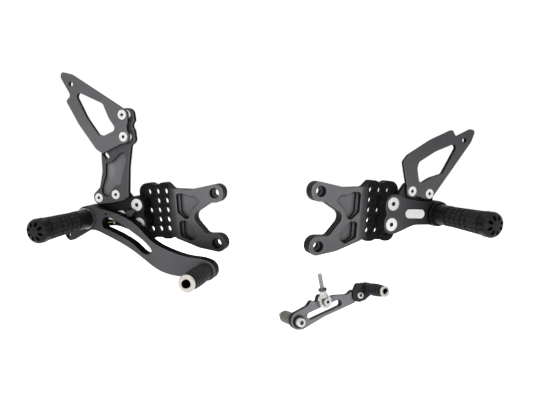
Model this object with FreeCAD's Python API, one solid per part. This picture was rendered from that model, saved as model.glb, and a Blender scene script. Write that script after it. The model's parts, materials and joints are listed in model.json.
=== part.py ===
"""Race foot peg set for a motorcycle: a brake-side and a shift-side peg assembly and a loose shift lever.

Each side is built flat in its own frame: x forward to the frame bolts, y up, z outward to the rider's boot.
The shift side is then mirrored, and every group is placed in the set's frame: X right, Y away, Z up,
with the origin where the brake side's upper frame bolt hole meets the back of its mounting plate.
"""
import FreeCAD, Part
import math, os

from FreeCAD import Placement, Rotation, Vector

# ---------------------------------------------------------------- driving dimensions, mm and degrees
# layout of the set
SIDE_YAW = {"brake": -17.9, "shift": 21.9}    # each side faces a little away from the set's middle,
SIDE_TILT = {"brake": -1.8, "shift": -0.8}    # is tipped a little forward
SIDE_RAKE = {"brake": 3.2, "shift": -3.9}     # and leans back in its own plane
SHIFT_CORNER = (117.9, -47.9, 6.7)   # shift-side upper frame bolt hole, at the plate's back
LEVER_HUB = (103.7, 4.0, -174.1)     # front face of the shift lever at its pivot
LEVER_YAW = 21.8
LEVER_TILT = 11.0

# mounting plate
PLATE_THICK = 12.0              # at the hole grid
LUG_RAISE = 3.0                 # the lugs stand this much prouder, z 0 to 3
RAMP_START, RAMP_END = 10.0, 17.0
GRID_PITCH = 12.5
GRID_HOLE_R = 4.8
GRID_CHAMFER = 1.0
LUG_UPPER = (72.5, 21.3)
LUG_LOWER = (70.5, -43.0)
LUG_R = 12.0
FRAME_BOLT_R = 4.25             # M8 clearance
FRAME_HEAD_R = 6.6
FRAME_HEAD_DEPTH = 8.0
POCKET_STEP = 5.0
POCKET_DEEP = 8.5
EDGE_CHAMFER = 0.8

# peg carrier, in its own frame with the origin midway between its two bolts
CARRIER_SEAT = {"brake": (-31.4, -1.9), "shift": (-19.0, -1.9)}
CARRIER_TURN = {"brake": 3.0, "shift": 0.0}
CARRIER_THICK = 18.0
CARRIER_BOLT_GAP = 25.0
CARRIER_BOSS_R = 11.0
TAB_BACK, TAB_THICK = 4.0, 6.0
GUARD_HOLE_GAP = 27.0
TAB_LEAN = 4.68                  # slope of the line through the two tab holes
TAB_NEAR = (-54.9, 26.2)
PEG_AXIS = (-67.4, 1.9)
PEG_BOSS_R = 16.0
BADGE_AT, BADGE_LONG, BADGE_TALL, BADGE_THICK = (-32.0, 1.3), 28.4, 11.0, 0.8

# countersunk screws: radius, head radius, hexagon across flats
M8, M8_HEAD, M8_HEX = 4.0, 8.0, 5.0
M6, M6_HEAD, M6_HEX = 3.0, 6.0, 4.0
M5, M5_HEAD, M5_HEAD_TALL, M5_HEX = 2.5, 4.5, 4.0, 4.0    # cap screw
FIT = 0.03                      # radial room of a screw in its thread
CLEAR = 0.25                    # radial room of a screw in a plain hole
RIM = 1.2                       # chamfer above a sunk screw head

# heel guard, in its own frame: near screw at the origin, far screw along x
GUARD_THICK = 4.5
GUARD_TIP = (-40.6, 73.0)
GUARD_TIP_R = 3.2

# upright bracket of the brake side, in the carrier's frame
BRACKET_GAP = 3.0               # silver spacers between tab and bracket
BRACKET_THICK = 6.0
BRACKET_NEAR = (6.7, 127.0)
BRACKET_LEAN = -95.7             # from the upper lobe to the lower one
BRACKET_POCKET = 3.0
SLOT_AT, SLOT_TURN, SLOT_LONG, SLOT_R = (-35.0, 81.8), -52.0, 4.5, 3.3   # for a reservoir strap
GUARD_SPACER = 6.5
SPACER_R = 6.8

# foot peg
PEG_LONG = 85.0
PEG_COLLAR_R, PEG_COLLAR_LONG = 12.5, 20.0
PEG_GRIP_R0, PEG_GRIP_R1 = 12.1, 13.6
PEG_CAP_R, PEG_CAP_LONG = 14.4, 14.5
PEG_STUD_R, PEG_STUD_BITE = 3.3, 8.0    # joins the cap to the grip
PEG_RINGS, PEG_RING_START, PEG_RING_PITCH = 4, 29.0, 7.7
PEG_FLUTES = 14
PEG_BOLT_BITE = 30.0
PEG_FLANGE_R, PEG_FLANGE_THICK = 15.5, 3.0

# brake pedal, in a frame at the peg axis
PEDAL_THICK = 12.0
PEDAL_HUB_R = 16.0
BUSH_OUT_R, BUSH_IN_R, BUSH_FLANGE_R, BUSH_FLANGE = 11.5, 10.03, 13.5, 1.0
SLEEVE_R = 10.0
THRUST = 2.0                    # washers each side of the hub
RUN = 0.1                       # end play beside a washer
TOE_AT = (166.0, -66.5)
TOE_BOSS_R = 12.5
TOE_LONG = 47.0
TOE_END_R, TOE_END_THICK = 10.35, 2.5
TOE_CORE_R, TOE_BORE_R = 6.8, 4.8
TOE_RIBS = 9
TOE_THIN_R, TOE_BULGE = 9.4, 1.9  # rib radius at the ends, and how much fuller the middle is
REAR_LUG = (-38.0, -24.0)
REAR_LUG_THICK, REAR_PIN_R = 6.0, 3.0
STOP_AT = (-7.04, 3.0)
STOP_HEX, STOP_TALL = 8.0, 8.0
SPRING_COIL_R, SPRING_WIRE_R, SPRING_TURNS, SPRING_GAP = 12.4, 0.8, 2.25, 0.15
SPRING_PITCH = 2 * SPRING_WIRE_R + SPRING_GAP
SPRING_WELL_R, SPRING_POST_R, SPRING_PLAY = 13.5, 11.3, 0.18
SPRING_WELL_DEEP = SPRING_TURNS * SPRING_PITCH + 2 * SPRING_WIRE_R + 2 * SPRING_PLAY
SPRING_RUN = math.sqrt(SPRING_COIL_R ** 2 - (SPRING_COIL_R - 2.4 * SPRING_WIRE_R) ** 2)
SPRING_CLIMB = SPRING_RUN + 6.5  # its leg runs level until it is clear of the next turn, then climbs
SPRING_LEG, SPRING_LIFT = 33.0, 8.0
SPRING_HOOK_R = 14.6             # where its moving end enters the back of the pedal's hub
SPRING_PIN_R = 1.5

# shift lever, in its own frame: pivot at the origin, front face at z 0
ARM_THICK = 10.0
ARM_BUSH_OUT_R, ARM_BUSH_IN_R, ARM_BUSH_FLANGE_R, ARM_BUSH_FLANGE = 7.5, 6.03, 8.5, 0.8
ARM_SLEEVE_R = 6.0
ARM_SPACER_R, ARM_SPACER_LONG = 8.5, 34.0
ARM_STUD_LONG = 15.0
ARM_SHANK_R = 3.5               # thinner than the thread, inside the spacer
THREAD_RELIEF = 0.8             # plain neck between a seat and a thread
ARM_HEAD_R, ARM_HEAD_TALL = 5.8, 8.0
ARM_WASHER_R, ARM_WASHER_THICK = 7.6, 1.5
ROD_AT = (38.0, 23.0)
ROD_SPACER = 2.0
ROD_HEAD_R, ROD_HEAD_TALL = 4.9, 5.0
BALL_R, BALL_WIDE = 6.5, 9.0
EYE_R, EYE_WIDE = 9.0, 6.0
EYE_NECK = 14.0
NIPPLE_R, NIPPLE_LONG, NIPPLE_ANGLE = 1.2, 3.4, 65.0
ROD_LEAN = 7.3
ROD_R, ROD_LONG = 3.0, 24.0
ROD_ROOT_R = 2.5                # at the root of its thread, where it is screwed in
NUT_HEX, NUT_THICK = 10.0, 4.0
ELBOW_AT = (95.0, 24.0)
ELBOW_R = 9.5
ELBOW_LAP = 5.0
SHIFT_TOE_AT = (108.0, 32.0)
SHIFT_TOE_LONG = 41.0
SHIFT_TOE_END_R = 7.2
SHIFT_TOE_CORE_R, SHIFT_TOE_BORE_R = 4.6, 3.2
SHIFT_TOE_RIBS = 8
SHIFT_TOE_THIN_R = 6.7


# ---------------------------------------------------------------- drawing helpers
def outline(corners):
    """Closed wire at z 0 through (x, y, radius) corners, each rounded by its radius."""
    count = len(corners)
    ends = []
    for i, (x, y, radius) in enumerate(corners):
        here = Vector(x, y, 0)
        before = Vector(*corners[i - 1][:2], 0) - here
        after = Vector(*corners[(i + 1) % count][:2], 0) - here
        if radius == 0:
            ends.append((here, None, here))
            continue
        half = before.getAngle(after) / 2
        reach = radius / math.tan(half)
        before.normalize()
        after.normalize()
        middle = before + after
        middle.normalize()
        top = here + middle * (radius / math.sin(half) - radius)
        ends.append((here + before * reach, top, here + after * reach))
    edges = []
    for i, (start, top, stop) in enumerate(ends):
        if top is not None:
            edges.append(Part.Arc(start, top, stop).toShape())
        following = ends[(i + 1) % count][0]
        if stop.distanceToPoint(following) > 1e-6:
            edges.append(Part.makeLine(stop, following))
    return Part.Wire(edges)


def slab(corners, low, high):
    """Flat piece with the rounded outline, between two heights."""
    face = Part.Face(outline(corners))
    face.translate(Vector(0, 0, low))
    return face.extrude(Vector(0, 0, high - low))


def rod(at, radius, low, high):
    return Part.makeCylinder(radius, high - low, Vector(at[0], at[1], low))


def tube(at, radius, bore, low, high):
    return rod(at, radius, low, high).cut(rod(at, bore, low, high))


def turned(profile, at=(0.0, 0.0)):
    """Body of revolution about z from (radius, height) points, closed to the axis."""
    points = [Vector(r, 0, z) for r, z in profile]
    points = [Vector(0, 0, profile[0][1])] + points + [Vector(0, 0, profile[-1][1])]
    kept = [points[0]]
    for point in points[1:]:
        if point.distanceToPoint(kept[-1]) > 1e-6:
            kept.append(point)
    wire = Part.makePolygon(kept + [kept[0]])
    body = Part.Face(wire).revolve(Vector(0, 0, 0), Vector(0, 0, 1), 360)
    body.translate(Vector(at[0], at[1], 0))
    return body


def hexagon(at, flats, low, high):
    reach = flats / math.sqrt(3)
    points = [Vector(at[0] + reach * math.cos(math.radians(60 * i)),
                     at[1] + reach * math.sin(math.radians(60 * i)), low) for i in range(7)]
    return Part.Face(Part.makePolygon(points)).extrude(Vector(0, 0, high - low))


def break_edges(shape, height, size):
    """Chamfer every edge that lies flat at the height."""
    edges = [edge for edge in shape.Edges
             if abs(edge.BoundBox.ZMin - height) < 1e-4 and abs(edge.BoundBox.ZMax - height) < 1e-4]
    return shape.makeChamfer(size, edges)


def sunk_screw(at, face, depth, radius, head, flats, rim=0.0):
    """Countersunk screw whose head lies a rim's depth below the face."""
    top = face - rim
    body = turned([(radius, face - depth), (radius, top - (head - radius) - 0.4), (head, top - 0.4),
                   (head, top)], at)
    return body.cut(hexagon(at, flats, top - head * 0.45, top + 1))


def sunk_hole(at, face, low, radius, head, rim=0.0):
    """Cutter for a countersunk screw, open to the face."""
    top = face - rim
    wide = head + CLEAR
    return turned([(radius, low), (radius, top - (wide - radius) - 0.4), (wide, top - 0.4), (wide, top),
                   (wide + rim, face + 0.01), (wide + rim, face + 1)], at)


def about(at, angle):
    return Placement(Vector(at[0], at[1], 0), Rotation(Vector(0, 0, 1), angle))


def moved(shape, place):
    copy = shape.copy()
    copy.Placement = place.multiply(copy.Placement)
    return copy


def flipped(shape):
    return shape.mirror(Vector(0, 0, 0), Vector(1, 0, 0))


def curve(points, start=None, stop=None):
    """Smooth edge through a few (x, y) points, leaving and arriving at the given angles."""
    line = Part.BSplineCurve()
    places = [Vector(x, y, 0) for x, y in points]
    if start is None:
        line.interpolate(places)
    else:
        line.interpolate(Points=places, InitialTangent=heading(start), FinalTangent=heading(stop))
    return line.toShape()


def heading(angle):
    return Vector(math.cos(math.radians(angle)), math.sin(math.radians(angle)), 0)


def polar(at, radius, angle):
    turn = math.radians(angle)
    return (at[0] + radius * math.cos(turn), at[1] + radius * math.sin(turn))


# ---------------------------------------------------------------- where each group stands
def upright(yaw, tilt=0.0):
    """Turn a flat frame so that its y is up and its z faces the viewer."""
    return Rotation(Vector(0, 0, 1), yaw).multiply(Rotation(Vector(1, 0, 0), 90 - tilt))


def corner_place(target, side, corner):
    """Place a side so that one corner of its flat frame meets a target in the set's frame."""
    turn = upright(SIDE_YAW[side], SIDE_TILT[side]).multiply(Rotation(Vector(0, 0, 1), SIDE_RAKE[side]))
    return Placement(Vector(*target) - turn.multVec(Vector(*corner)), turn)


BRAKE_PLACE = corner_place((0, 0, 0), "brake", (LUG_UPPER[0], LUG_UPPER[1], -PLATE_THICK))
SHIFT_PLACE = corner_place(SHIFT_CORNER, "shift", (-LUG_UPPER[0], LUG_UPPER[1], -PLATE_THICK))
LEVER_PLACE = Placement(Vector(*LEVER_HUB), upright(LEVER_YAW, LEVER_TILT))
CARRIER_FRAME = {side: about(CARRIER_SEAT[side], CARRIER_TURN[side]) for side in ("brake", "shift")}


def on_side(shape, side):
    """From a side's flat frame into the set's frame."""
    if side == "shift":
        return moved(flipped(shape), SHIFT_PLACE)
    return moved(shape, BRAKE_PLACE)


def on_carrier(shape, side):
    return on_side(moved(shape, CARRIER_FRAME[side]), side)


# ---------------------------------------------------------------- heights along z
CARRIER_FACE = CARRIER_THICK
TAB_FACE = TAB_BACK + TAB_THICK
BRACKET_FACE = TAB_FACE + BRACKET_GAP + BRACKET_THICK
BRAKE_GUARD_BACK = BRACKET_FACE + GUARD_SPACER
HUB_BACK = CARRIER_FACE + THRUST + RUN + BUSH_FLANGE
HUB_FACE = HUB_BACK + PEDAL_THICK
SLEEVE_END = HUB_FACE + BUSH_FLANGE + RUN
BRAKE_PEG_BASE = SLEEVE_END + THRUST
SHIFT_PEG_BASE = CARRIER_FACE + PEG_FLANGE_THICK

# screw places shared by the pieces that they hold together, in the carrier's frame
CARRIER_BOLTS = ((0.0, CARRIER_BOLT_GAP / 2), (0.0, -CARRIER_BOLT_GAP / 2))
TAB_HOLES = (TAB_NEAR, polar(TAB_NEAR, GUARD_HOLE_GAP, TAB_LEAN))
BRACKET_LOBES = (BRACKET_NEAR, polar(BRACKET_NEAR, GUARD_HOLE_GAP, BRACKET_LEAN))
GUARD_HOLES = ((0.0, 0.0), (GUARD_HOLE_GAP, 0.0))    # in the guard's own frame


# ---------------------------------------------------------------- mounting plate
GRID_HOLES = [(-GRID_PITCH * column, GRID_PITCH * (2 - row)) for column in range(3) for row in range(5)
              if column < 2 or row in (0, 2, 4)]


def mounting_plate(side):
    lug_x, lug_y = LUG_UPPER[0] + LUG_R, LUG_UPPER[1]
    low_x, low_y = LUG_LOWER[0] + LUG_R, LUG_LOWER[1]
    edge = [(-37, 37, 12), (-20, 37, 5), (-14.5, 34.5, 4), (-8, 34.3, 4), (-4, 36.8, 5), (4, 36.8, 6),
            (12.5, 28.2, 6), (38, 26.6, 20), (lug_x, lug_y + LUG_R + 1, LUG_R - 1.5),
            (lug_x, lug_y - LUG_R, LUG_R), (64.5, 9.3, 6), (37, -6.5, 9), (57, low_y + LUG_R, 6),
            (low_x, low_y + LUG_R, LUG_R), (low_x, low_y - LUG_R - 1, LUG_R - 1.6), (46, -49, 20),
            (10, -35.4, 5), (4.5, -37.6, 5),
            (-4, -37.8, 5), (-9, -35.6, 4), (-17.5, -35.6, 4), (-22, -37.6, 5), (-37, -37.6, 11),
            (-37, -24, 2), (-44, -21, 6), (-44, 18, 6), (-37, 21, 2)]
    body = slab(edge, -PLATE_THICK, LUG_RAISE)
    body = break_edges(body, LUG_RAISE, EDGE_CHAMFER)
    body = break_edges(body, -PLATE_THICK, EDGE_CHAMFER)
    far = 60
    step = Part.makePolygon([Vector(-far, -far, 0), Vector(RAMP_START, -far, 0),
                             Vector(RAMP_END, -far, LUG_RAISE), Vector(RAMP_END, -far, LUG_RAISE + 5),
                             Vector(-far, -far, LUG_RAISE + 5), Vector(-far, -far, 0)])
    body = body.cut(Part.Face(step).extrude(Vector(0, 2 * far, 0)))
    upper = [(18.6, 22.5, 4), (29, 22.4, 7), (37, 18.8, 8), (45.5, 18.4, 6), (53, 12.0, 4), (39.5, -0.5, 6),
             (34.5, -10.2, 4), (29.5, -11.5, 4), (18.6, -2.0, 4)]
    lower = [(20.3, -13.2, 4), (30, -12.8, 5), (41, -23.5, 6), (43.2, -36, 4), (35, -40, 4), (20.3, -33, 4)]
    for pocket in (upper, lower):
        deep = [(max(x, pocket[0][0] + 3.2), y, radius) for x, y, radius in pocket]
        body = body.cut(slab(pocket, LUG_RAISE - POCKET_STEP, LUG_RAISE + 1))
        body = body.cut(slab(deep, LUG_RAISE - POCKET_DEEP, LUG_RAISE + 1))
    tapped = [CARRIER_FRAME[side].multVec(Vector(*at, 0)) for at in CARRIER_BOLTS]
    for at in GRID_HOLES:
        if min(bolt.distanceToPoint(Vector(*at, 0)) for bolt in tapped) < GRID_HOLE_R + M8 + 1:
            continue
        top = GRID_HOLE_R + GRID_CHAMFER
        body = body.cut(turned([(GRID_HOLE_R, -PLATE_THICK - 1), (GRID_HOLE_R, -GRID_CHAMFER), (top, 0),
                                (top, LUG_RAISE + 1)], at))
    for at in (LUG_UPPER, LUG_LOWER):
        body = body.cut(rod(at, FRAME_BOLT_R, -PLATE_THICK - 1, LUG_RAISE + 1))
        body = body.cut(rod(at, FRAME_HEAD_R, LUG_RAISE - FRAME_HEAD_DEPTH, LUG_RAISE + 1))
    for at in CARRIER_BOLTS:
        hole = moved(rod(at, M8 + FIT, -PLATE_THICK - 1, 1), CARRIER_FRAME[side])
        body = body.cut(hole)
    return on_side(body, side)


# ---------------------------------------------------------------- peg carrier and its screws
def peg_carrier(side):
    boss_y = CARRIER_BOLT_GAP / 2
    top, low = boss_y + CARRIER_BOSS_R, -boss_y - CARRIER_BOSS_R
    edge = [(CARRIER_BOSS_R, top, CARRIER_BOSS_R), (CARRIER_BOSS_R, 6.5, 5), (7.8, 0, 8),
            (CARRIER_BOSS_R, -6.5, 5), (CARRIER_BOSS_R, low, CARRIER_BOSS_R), (-6, low, 8),
            (-33, -12.6, 30), (PEG_AXIS[0], -12.0, 5), (PEG_AXIS[0], 16.6, 3), (-40, 16.6, 20),
            (-18, 19.2, 8), (-9, top, 9)]
    body = slab(edge, 0, CARRIER_FACE)
    body = body.fuse(rod(PEG_AXIS, PEG_BOSS_R, 0, CARRIER_FACE))
    body = break_edges(body.removeSplitter(), CARRIER_FACE, EDGE_CHAMFER)
    tab = [(-6, 10, 3), (-10.5, 22, 3), (-21.5, 38, 5), (-36, 37, 6), (-44, 34, 6), (-62, 34, 6),
           (-64.5, 24, 4), (-64.5, 8, 2)]
    body = body.fuse(slab(tab, TAB_BACK, TAB_FACE)).removeSplitter()
    for at in CARRIER_BOLTS:
        body = body.cut(sunk_hole(at, CARRIER_FACE, -1, M8 + CLEAR, M8_HEAD, RIM))
    for at in TAB_HOLES:
        body = body.cut(rod(at, M6 + FIT, TAB_BACK - 1, TAB_FACE + 1))
    body = body.cut(rod(PEG_AXIS, M8 + CLEAR, -1, CARRIER_FACE + 1))
    body = body.cut(rod(PEG_AXIS, 7.0, -1, 8.5))
    if side == "brake":
        body = body.cut(spring_well())
        body = body.cut(rod(STOP_AT, M6 + FIT, 4, CARRIER_FACE + 1))
        body = body.cut(moved(rod(SPRING_PIN_AT, SPRING_PIN_R + FIT, 10, CARRIER_FACE + 1), SPRING_PLACE))
    return on_carrier(body, side)


def carrier_bolts(side):
    screws = [sunk_screw(at, CARRIER_FACE, CARRIER_FACE + PLATE_THICK - 1.5, M8, M8_HEAD, M8_HEX, RIM)
              for at in CARRIER_BOLTS]
    return on_carrier(Part.makeCompound(screws), side)


def badge(side):
    """Blank oval plate glued on the carrier."""
    x, y = BADGE_AT
    dx, dy = BADGE_LONG / 2, BADGE_TALL / 2
    corner = dy - 0.01
    body = slab([(x - dx, y - dy, corner), (x + dx, y - dy, corner), (x + dx, y + dy, corner),
                 (x - dx, y + dy, corner)], CARRIER_FACE, CARRIER_FACE + BADGE_THICK)
    return on_carrier(body, side)


# ---------------------------------------------------------------- heel guard
def guard_frame(side):
    """Where the guard's own frame lies in the carrier's frame, and whether it is turned over."""
    near, far = (TAB_HOLES if side == "shift" else BRACKET_LOBES)
    angle = math.degrees(math.atan2(far[1] - near[1], far[0] - near[0]))
    return about(near, angle), side == "brake"


def in_guard(shape, side):
    place, over = guard_frame(side)
    if over:
        shape = shape.mirror(Vector(0, 0, 0), Vector(0, 1, 0))
    return on_carrier(moved(shape, place), side)


def heel_guard(side):
    back = TAB_FACE if side == "shift" else BRAKE_GUARD_BACK
    face = back + GUARD_THICK
    edge = [(-4.0, -7.4, 7.1), (8, -7.4, 5), (14, -5.2, 6), (19, -5.2, 5), (23, -7.5, 5),
            (GUARD_HOLE_GAP + 7.4, -7.5, 7.2), (GUARD_HOLE_GAP + 8.4, 4, 20), (47.5, 33.5, 6),
            (41.5, 42.5, 12), (10, 66, 60), (-20, 83, 3), (-26.5, 75, 5), (-49, 88.5, 4), (-57, 88, 4),
            (-53, 72.5, 12)]
    window = [(-30.5, 63.5, 4), (-24, 65.5, 2), (2, 52.5, 60), (24, 36.5, 6), (25.5, 29, 10), (18, 9.2, 5),
              (3.5, 19.5, 25), (-14.5, 26.8, 6)]
    body = slab(edge, back, face)
    body = break_edges(break_edges(body, face, EDGE_CHAMFER), back, EDGE_CHAMFER / 2)
    body = body.cut(slab(window, back - 1, face + 1))
    body = body.cut(rod(GUARD_TIP, GUARD_TIP_R, back - 1, face + 1))
    for at in GUARD_HOLES:
        body = body.cut(sunk_hole(at, face, back - 1, M6 + CLEAR, M6_HEAD))
    return in_guard(body, side)


def guard_screws(side):
    back = TAB_FACE if side == "shift" else BRAKE_GUARD_BACK
    reach = TAB_THICK - 0.5 if side == "shift" else GUARD_SPACER + BRACKET_THICK - 0.5
    screws = [sunk_screw(at, back + GUARD_THICK, GUARD_THICK + reach, M6, M6_HEAD, M6_HEX)
              for at in GUARD_HOLES]
    return in_guard(Part.makeCompound(screws), side)


# ---------------------------------------------------------------- upright bracket, brake side only
def upright_bracket():
    back = TAB_FACE + BRACKET_GAP
    (hi_x, hi_y), (lo_x, lo_y) = BRACKET_LOBES
    edge = [(-8.8, 24.3, 2), (-18.2, 19.8, 8), (-36, 18.1, 20), (-63, 18, 8), (-63, 31, 5), (-51, 40, 8),
            (-43.5, 60, 20), (-41, 84, 4), (-32, 93, 5), (-10, 93, 10), (-8.5, hi_y, 6),
            (hi_x - 6, hi_y + 9, 7),
            (hi_x + 9, hi_y + 8.5, 8.5), (hi_x + 9, hi_y - 8, 4), (hi_x + 3.5, (hi_y + lo_y) / 2, 6),
            (lo_x + 9.3, lo_y + 7, 4), (lo_x + 9.3, lo_y - 7, 7), (lo_x + 1.5, lo_y - 11, 4), (-2.5, 62, 30),
            (-8.5, 30, 20)]
    body = slab(edge, back, BRACKET_FACE)
    body = break_edges(break_edges(body, BRACKET_FACE, EDGE_CHAMFER), back, EDGE_CHAMFER / 2)
    pocket = [(-4, 82, 3), (-4.4, 70, 8), (-13.5, 50, 12), (-18.2, 38, 3), (-30, 37.5, 5), (-39.5, 25, 4),
              (-48.5, 31, 4), (-47.5, 39, 4), (-38.5, 55, 20), (-35.5, 70.5, 3), (-26, 71, 6), (-12, 81, 6)]
    body = body.cut(slab(pocket, BRACKET_FACE - BRACKET_POCKET, BRACKET_FACE + 1))
    round_end = rod((0, 0), SLOT_R, back - 1, BRACKET_FACE + 1)
    far_end = rod((SLOT_LONG, 0), SLOT_R, back - 1, BRACKET_FACE + 1)
    bar = Part.makeBox(SLOT_LONG, 2 * SLOT_R, BRACKET_THICK + 2, Vector(0, -SLOT_R, back - 1))
    body = body.cut(moved(round_end.fuse([far_end, bar]), about(SLOT_AT, SLOT_TURN)))
    for at in TAB_HOLES:
        body = body.cut(sunk_hole(at, BRACKET_FACE, back - 1, M6 + CLEAR, M6_HEAD))
    for at in BRACKET_LOBES:
        body = body.cut(rod(at, M6 + FIT, back - 1, BRACKET_FACE + 1))
    return on_carrier(body, "brake")


def bracket_screws():
    screws = [sunk_screw(at, BRACKET_FACE, BRACKET_THICK + BRACKET_GAP + TAB_THICK - 0.5, M6, M6_HEAD, M6_HEX)
              for at in TAB_HOLES]
    return on_carrier(Part.makeCompound(screws), "brake")


def spacers(places, low, high):
    rings = [tube(at, SPACER_R, M6 + CLEAR, low, high) for at in places]
    return on_carrier(Part.makeCompound(rings), "brake")


# ---------------------------------------------------------------- foot peg
def peg_grip(base):
    cap_start = PEG_LONG - PEG_CAP_LONG
    slope = (PEG_GRIP_R1 - PEG_GRIP_R0) / (cap_start - PEG_COLLAR_LONG)
    profile = [(PEG_COLLAR_R - 0.8, 0), (PEG_COLLAR_R, 0.8), (PEG_COLLAR_R, PEG_COLLAR_LONG - 0.6),
               (PEG_GRIP_R0 - 1, PEG_COLLAR_LONG), (PEG_GRIP_R0 - 1, PEG_COLLAR_LONG + 1),
               (PEG_GRIP_R0, PEG_COLLAR_LONG + 1.6)]
    for ring in range(PEG_RINGS):
        z = PEG_RING_START + ring * PEG_RING_PITCH
        radius = PEG_GRIP_R0 + slope * (z - PEG_COLLAR_LONG)
        profile += [(radius, z - 1.1), (radius - 1.3, z - 0.5), (radius - 1.3, z + 0.5), (radius, z + 1.1)]
    profile += [(PEG_GRIP_R1, cap_start - 1.4), (PEG_GRIP_R1 - 1.2, cap_start - 0.8),
                (PEG_GRIP_R1 - 1.2, cap_start)]
    body = turned(profile)
    rise = Vector(PEG_GRIP_R1 - PEG_GRIP_R0, 0, cap_start - PEG_COLLAR_LONG)
    start = Vector(PEG_GRIP_R0 + 0.55, 0, PEG_COLLAR_LONG + 2)
    flute = Part.makeCylinder(1.2, rise.Length + 4, start, rise)
    flutes = []
    for i in range(PEG_FLUTES):
        turn = Placement(Vector(0, 0, 0), Rotation(Vector(0, 0, 1), 360 / PEG_FLUTES * i))
        flutes.append(moved(flute, turn))
    body = body.cut(Part.makeCompound(flutes))
    body = body.cut(rod((0, 0), M8 + FIT, -1, PEG_BOLT_BITE + 2))
    body = body.cut(rod((0, 0), PEG_STUD_R + FIT, cap_start - 20, cap_start + 1))
    body = body.cut(set_screw_body(0.02))
    return moved(body, Placement(Vector(PEG_AXIS[0], PEG_AXIS[1], base), Rotation()))


def set_screw_body(room=0.0):
    return Part.makeCylinder(2.0 + room, 8, Vector(PEG_COLLAR_R - 0.4 - 8, 0, 9), Vector(1, 0, 0))


def peg_cap(base):
    """Domed end cap with eight oval pockets, screwed on to a stud."""
    low, top = PEG_LONG - PEG_CAP_LONG, PEG_LONG
    body = turned([(PEG_CAP_R - 1.5, low), (PEG_CAP_R, low + 1), (PEG_CAP_R, low + 9),
                   (PEG_CAP_R - 1.2, low + 11.2), (PEG_CAP_R - 4, low + 13.2),
                   (PEG_CAP_R - 8, low + PEG_CAP_LONG - 0.2), (0.1, top)])
    cuts = []
    for i in range(8):
        turn = Placement(Vector(0, 0, 0), Rotation(Vector(0, 0, 1), 45 * i + 22.5))
        corners = [(5.8, -1.6, 1.4), (11.5, -2.1, 1.9), (11.5, 2.1, 1.9), (5.8, 1.6, 1.4)]
        oval = slab(corners, top - 4.5, top + 1)
        notch = Part.makeCylinder(1.5, PEG_CAP_LONG, Vector(PEG_CAP_R + 0.5, 0, low - 1))
        cuts += [moved(oval, turn), moved(notch, turn)]
    body = body.cut(Part.makeCompound(cuts))
    body = body.cut(rod((0, 0), PEG_STUD_R + FIT, low - 1, low + PEG_STUD_BITE + 0.5))
    return moved(body, Placement(Vector(PEG_AXIS[0], PEG_AXIS[1], base), Rotation()))


def peg_cap_stud(base):
    low = base + PEG_LONG - PEG_CAP_LONG
    return rod(PEG_AXIS, PEG_STUD_R, low - 18, low + PEG_STUD_BITE)


def peg_bolt(base):
    """Cap screw from the back of the carrier into the peg."""
    body = turned([(6.6, 0.5), (6.6, 8.5), (M8, 8.5), (M8, base + PEG_BOLT_BITE)], PEG_AXIS)
    return body.cut(hexagon(PEG_AXIS, 6.0, 0, 4.5))


def peg_parts(side, base):
    screw = moved(set_screw_body(), Placement(Vector(PEG_AXIS[0], PEG_AXIS[1], base), Rotation()))
    return {
        "foot_peg": on_carrier(peg_grip(base), side),
        "peg_end_cap": on_carrier(peg_cap(base), side),
        "peg_cap_stud": on_carrier(peg_cap_stud(base), side),
        "peg_bolt": on_carrier(peg_bolt(base), side),
        "peg_set_screw": on_carrier(screw, side),
    }


# ---------------------------------------------------------------- brake pedal and its pivot
def on_pedal(shape):
    return on_carrier(moved(shape, Placement(Vector(PEG_AXIS[0], PEG_AXIS[1], 0),
                                             Rotation(Vector(0, 0, 1), -CARRIER_TURN["brake"]))), "brake")


def arc_round(at, radius, start, stop):
    """Arc about a centre, from one angle to another."""
    places = [polar(at, radius, angle) for angle in (start, (start + stop) / 2, stop)]
    return Part.Arc(*[Vector(x, y, 0) for x, y in places]).toShape()


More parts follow.
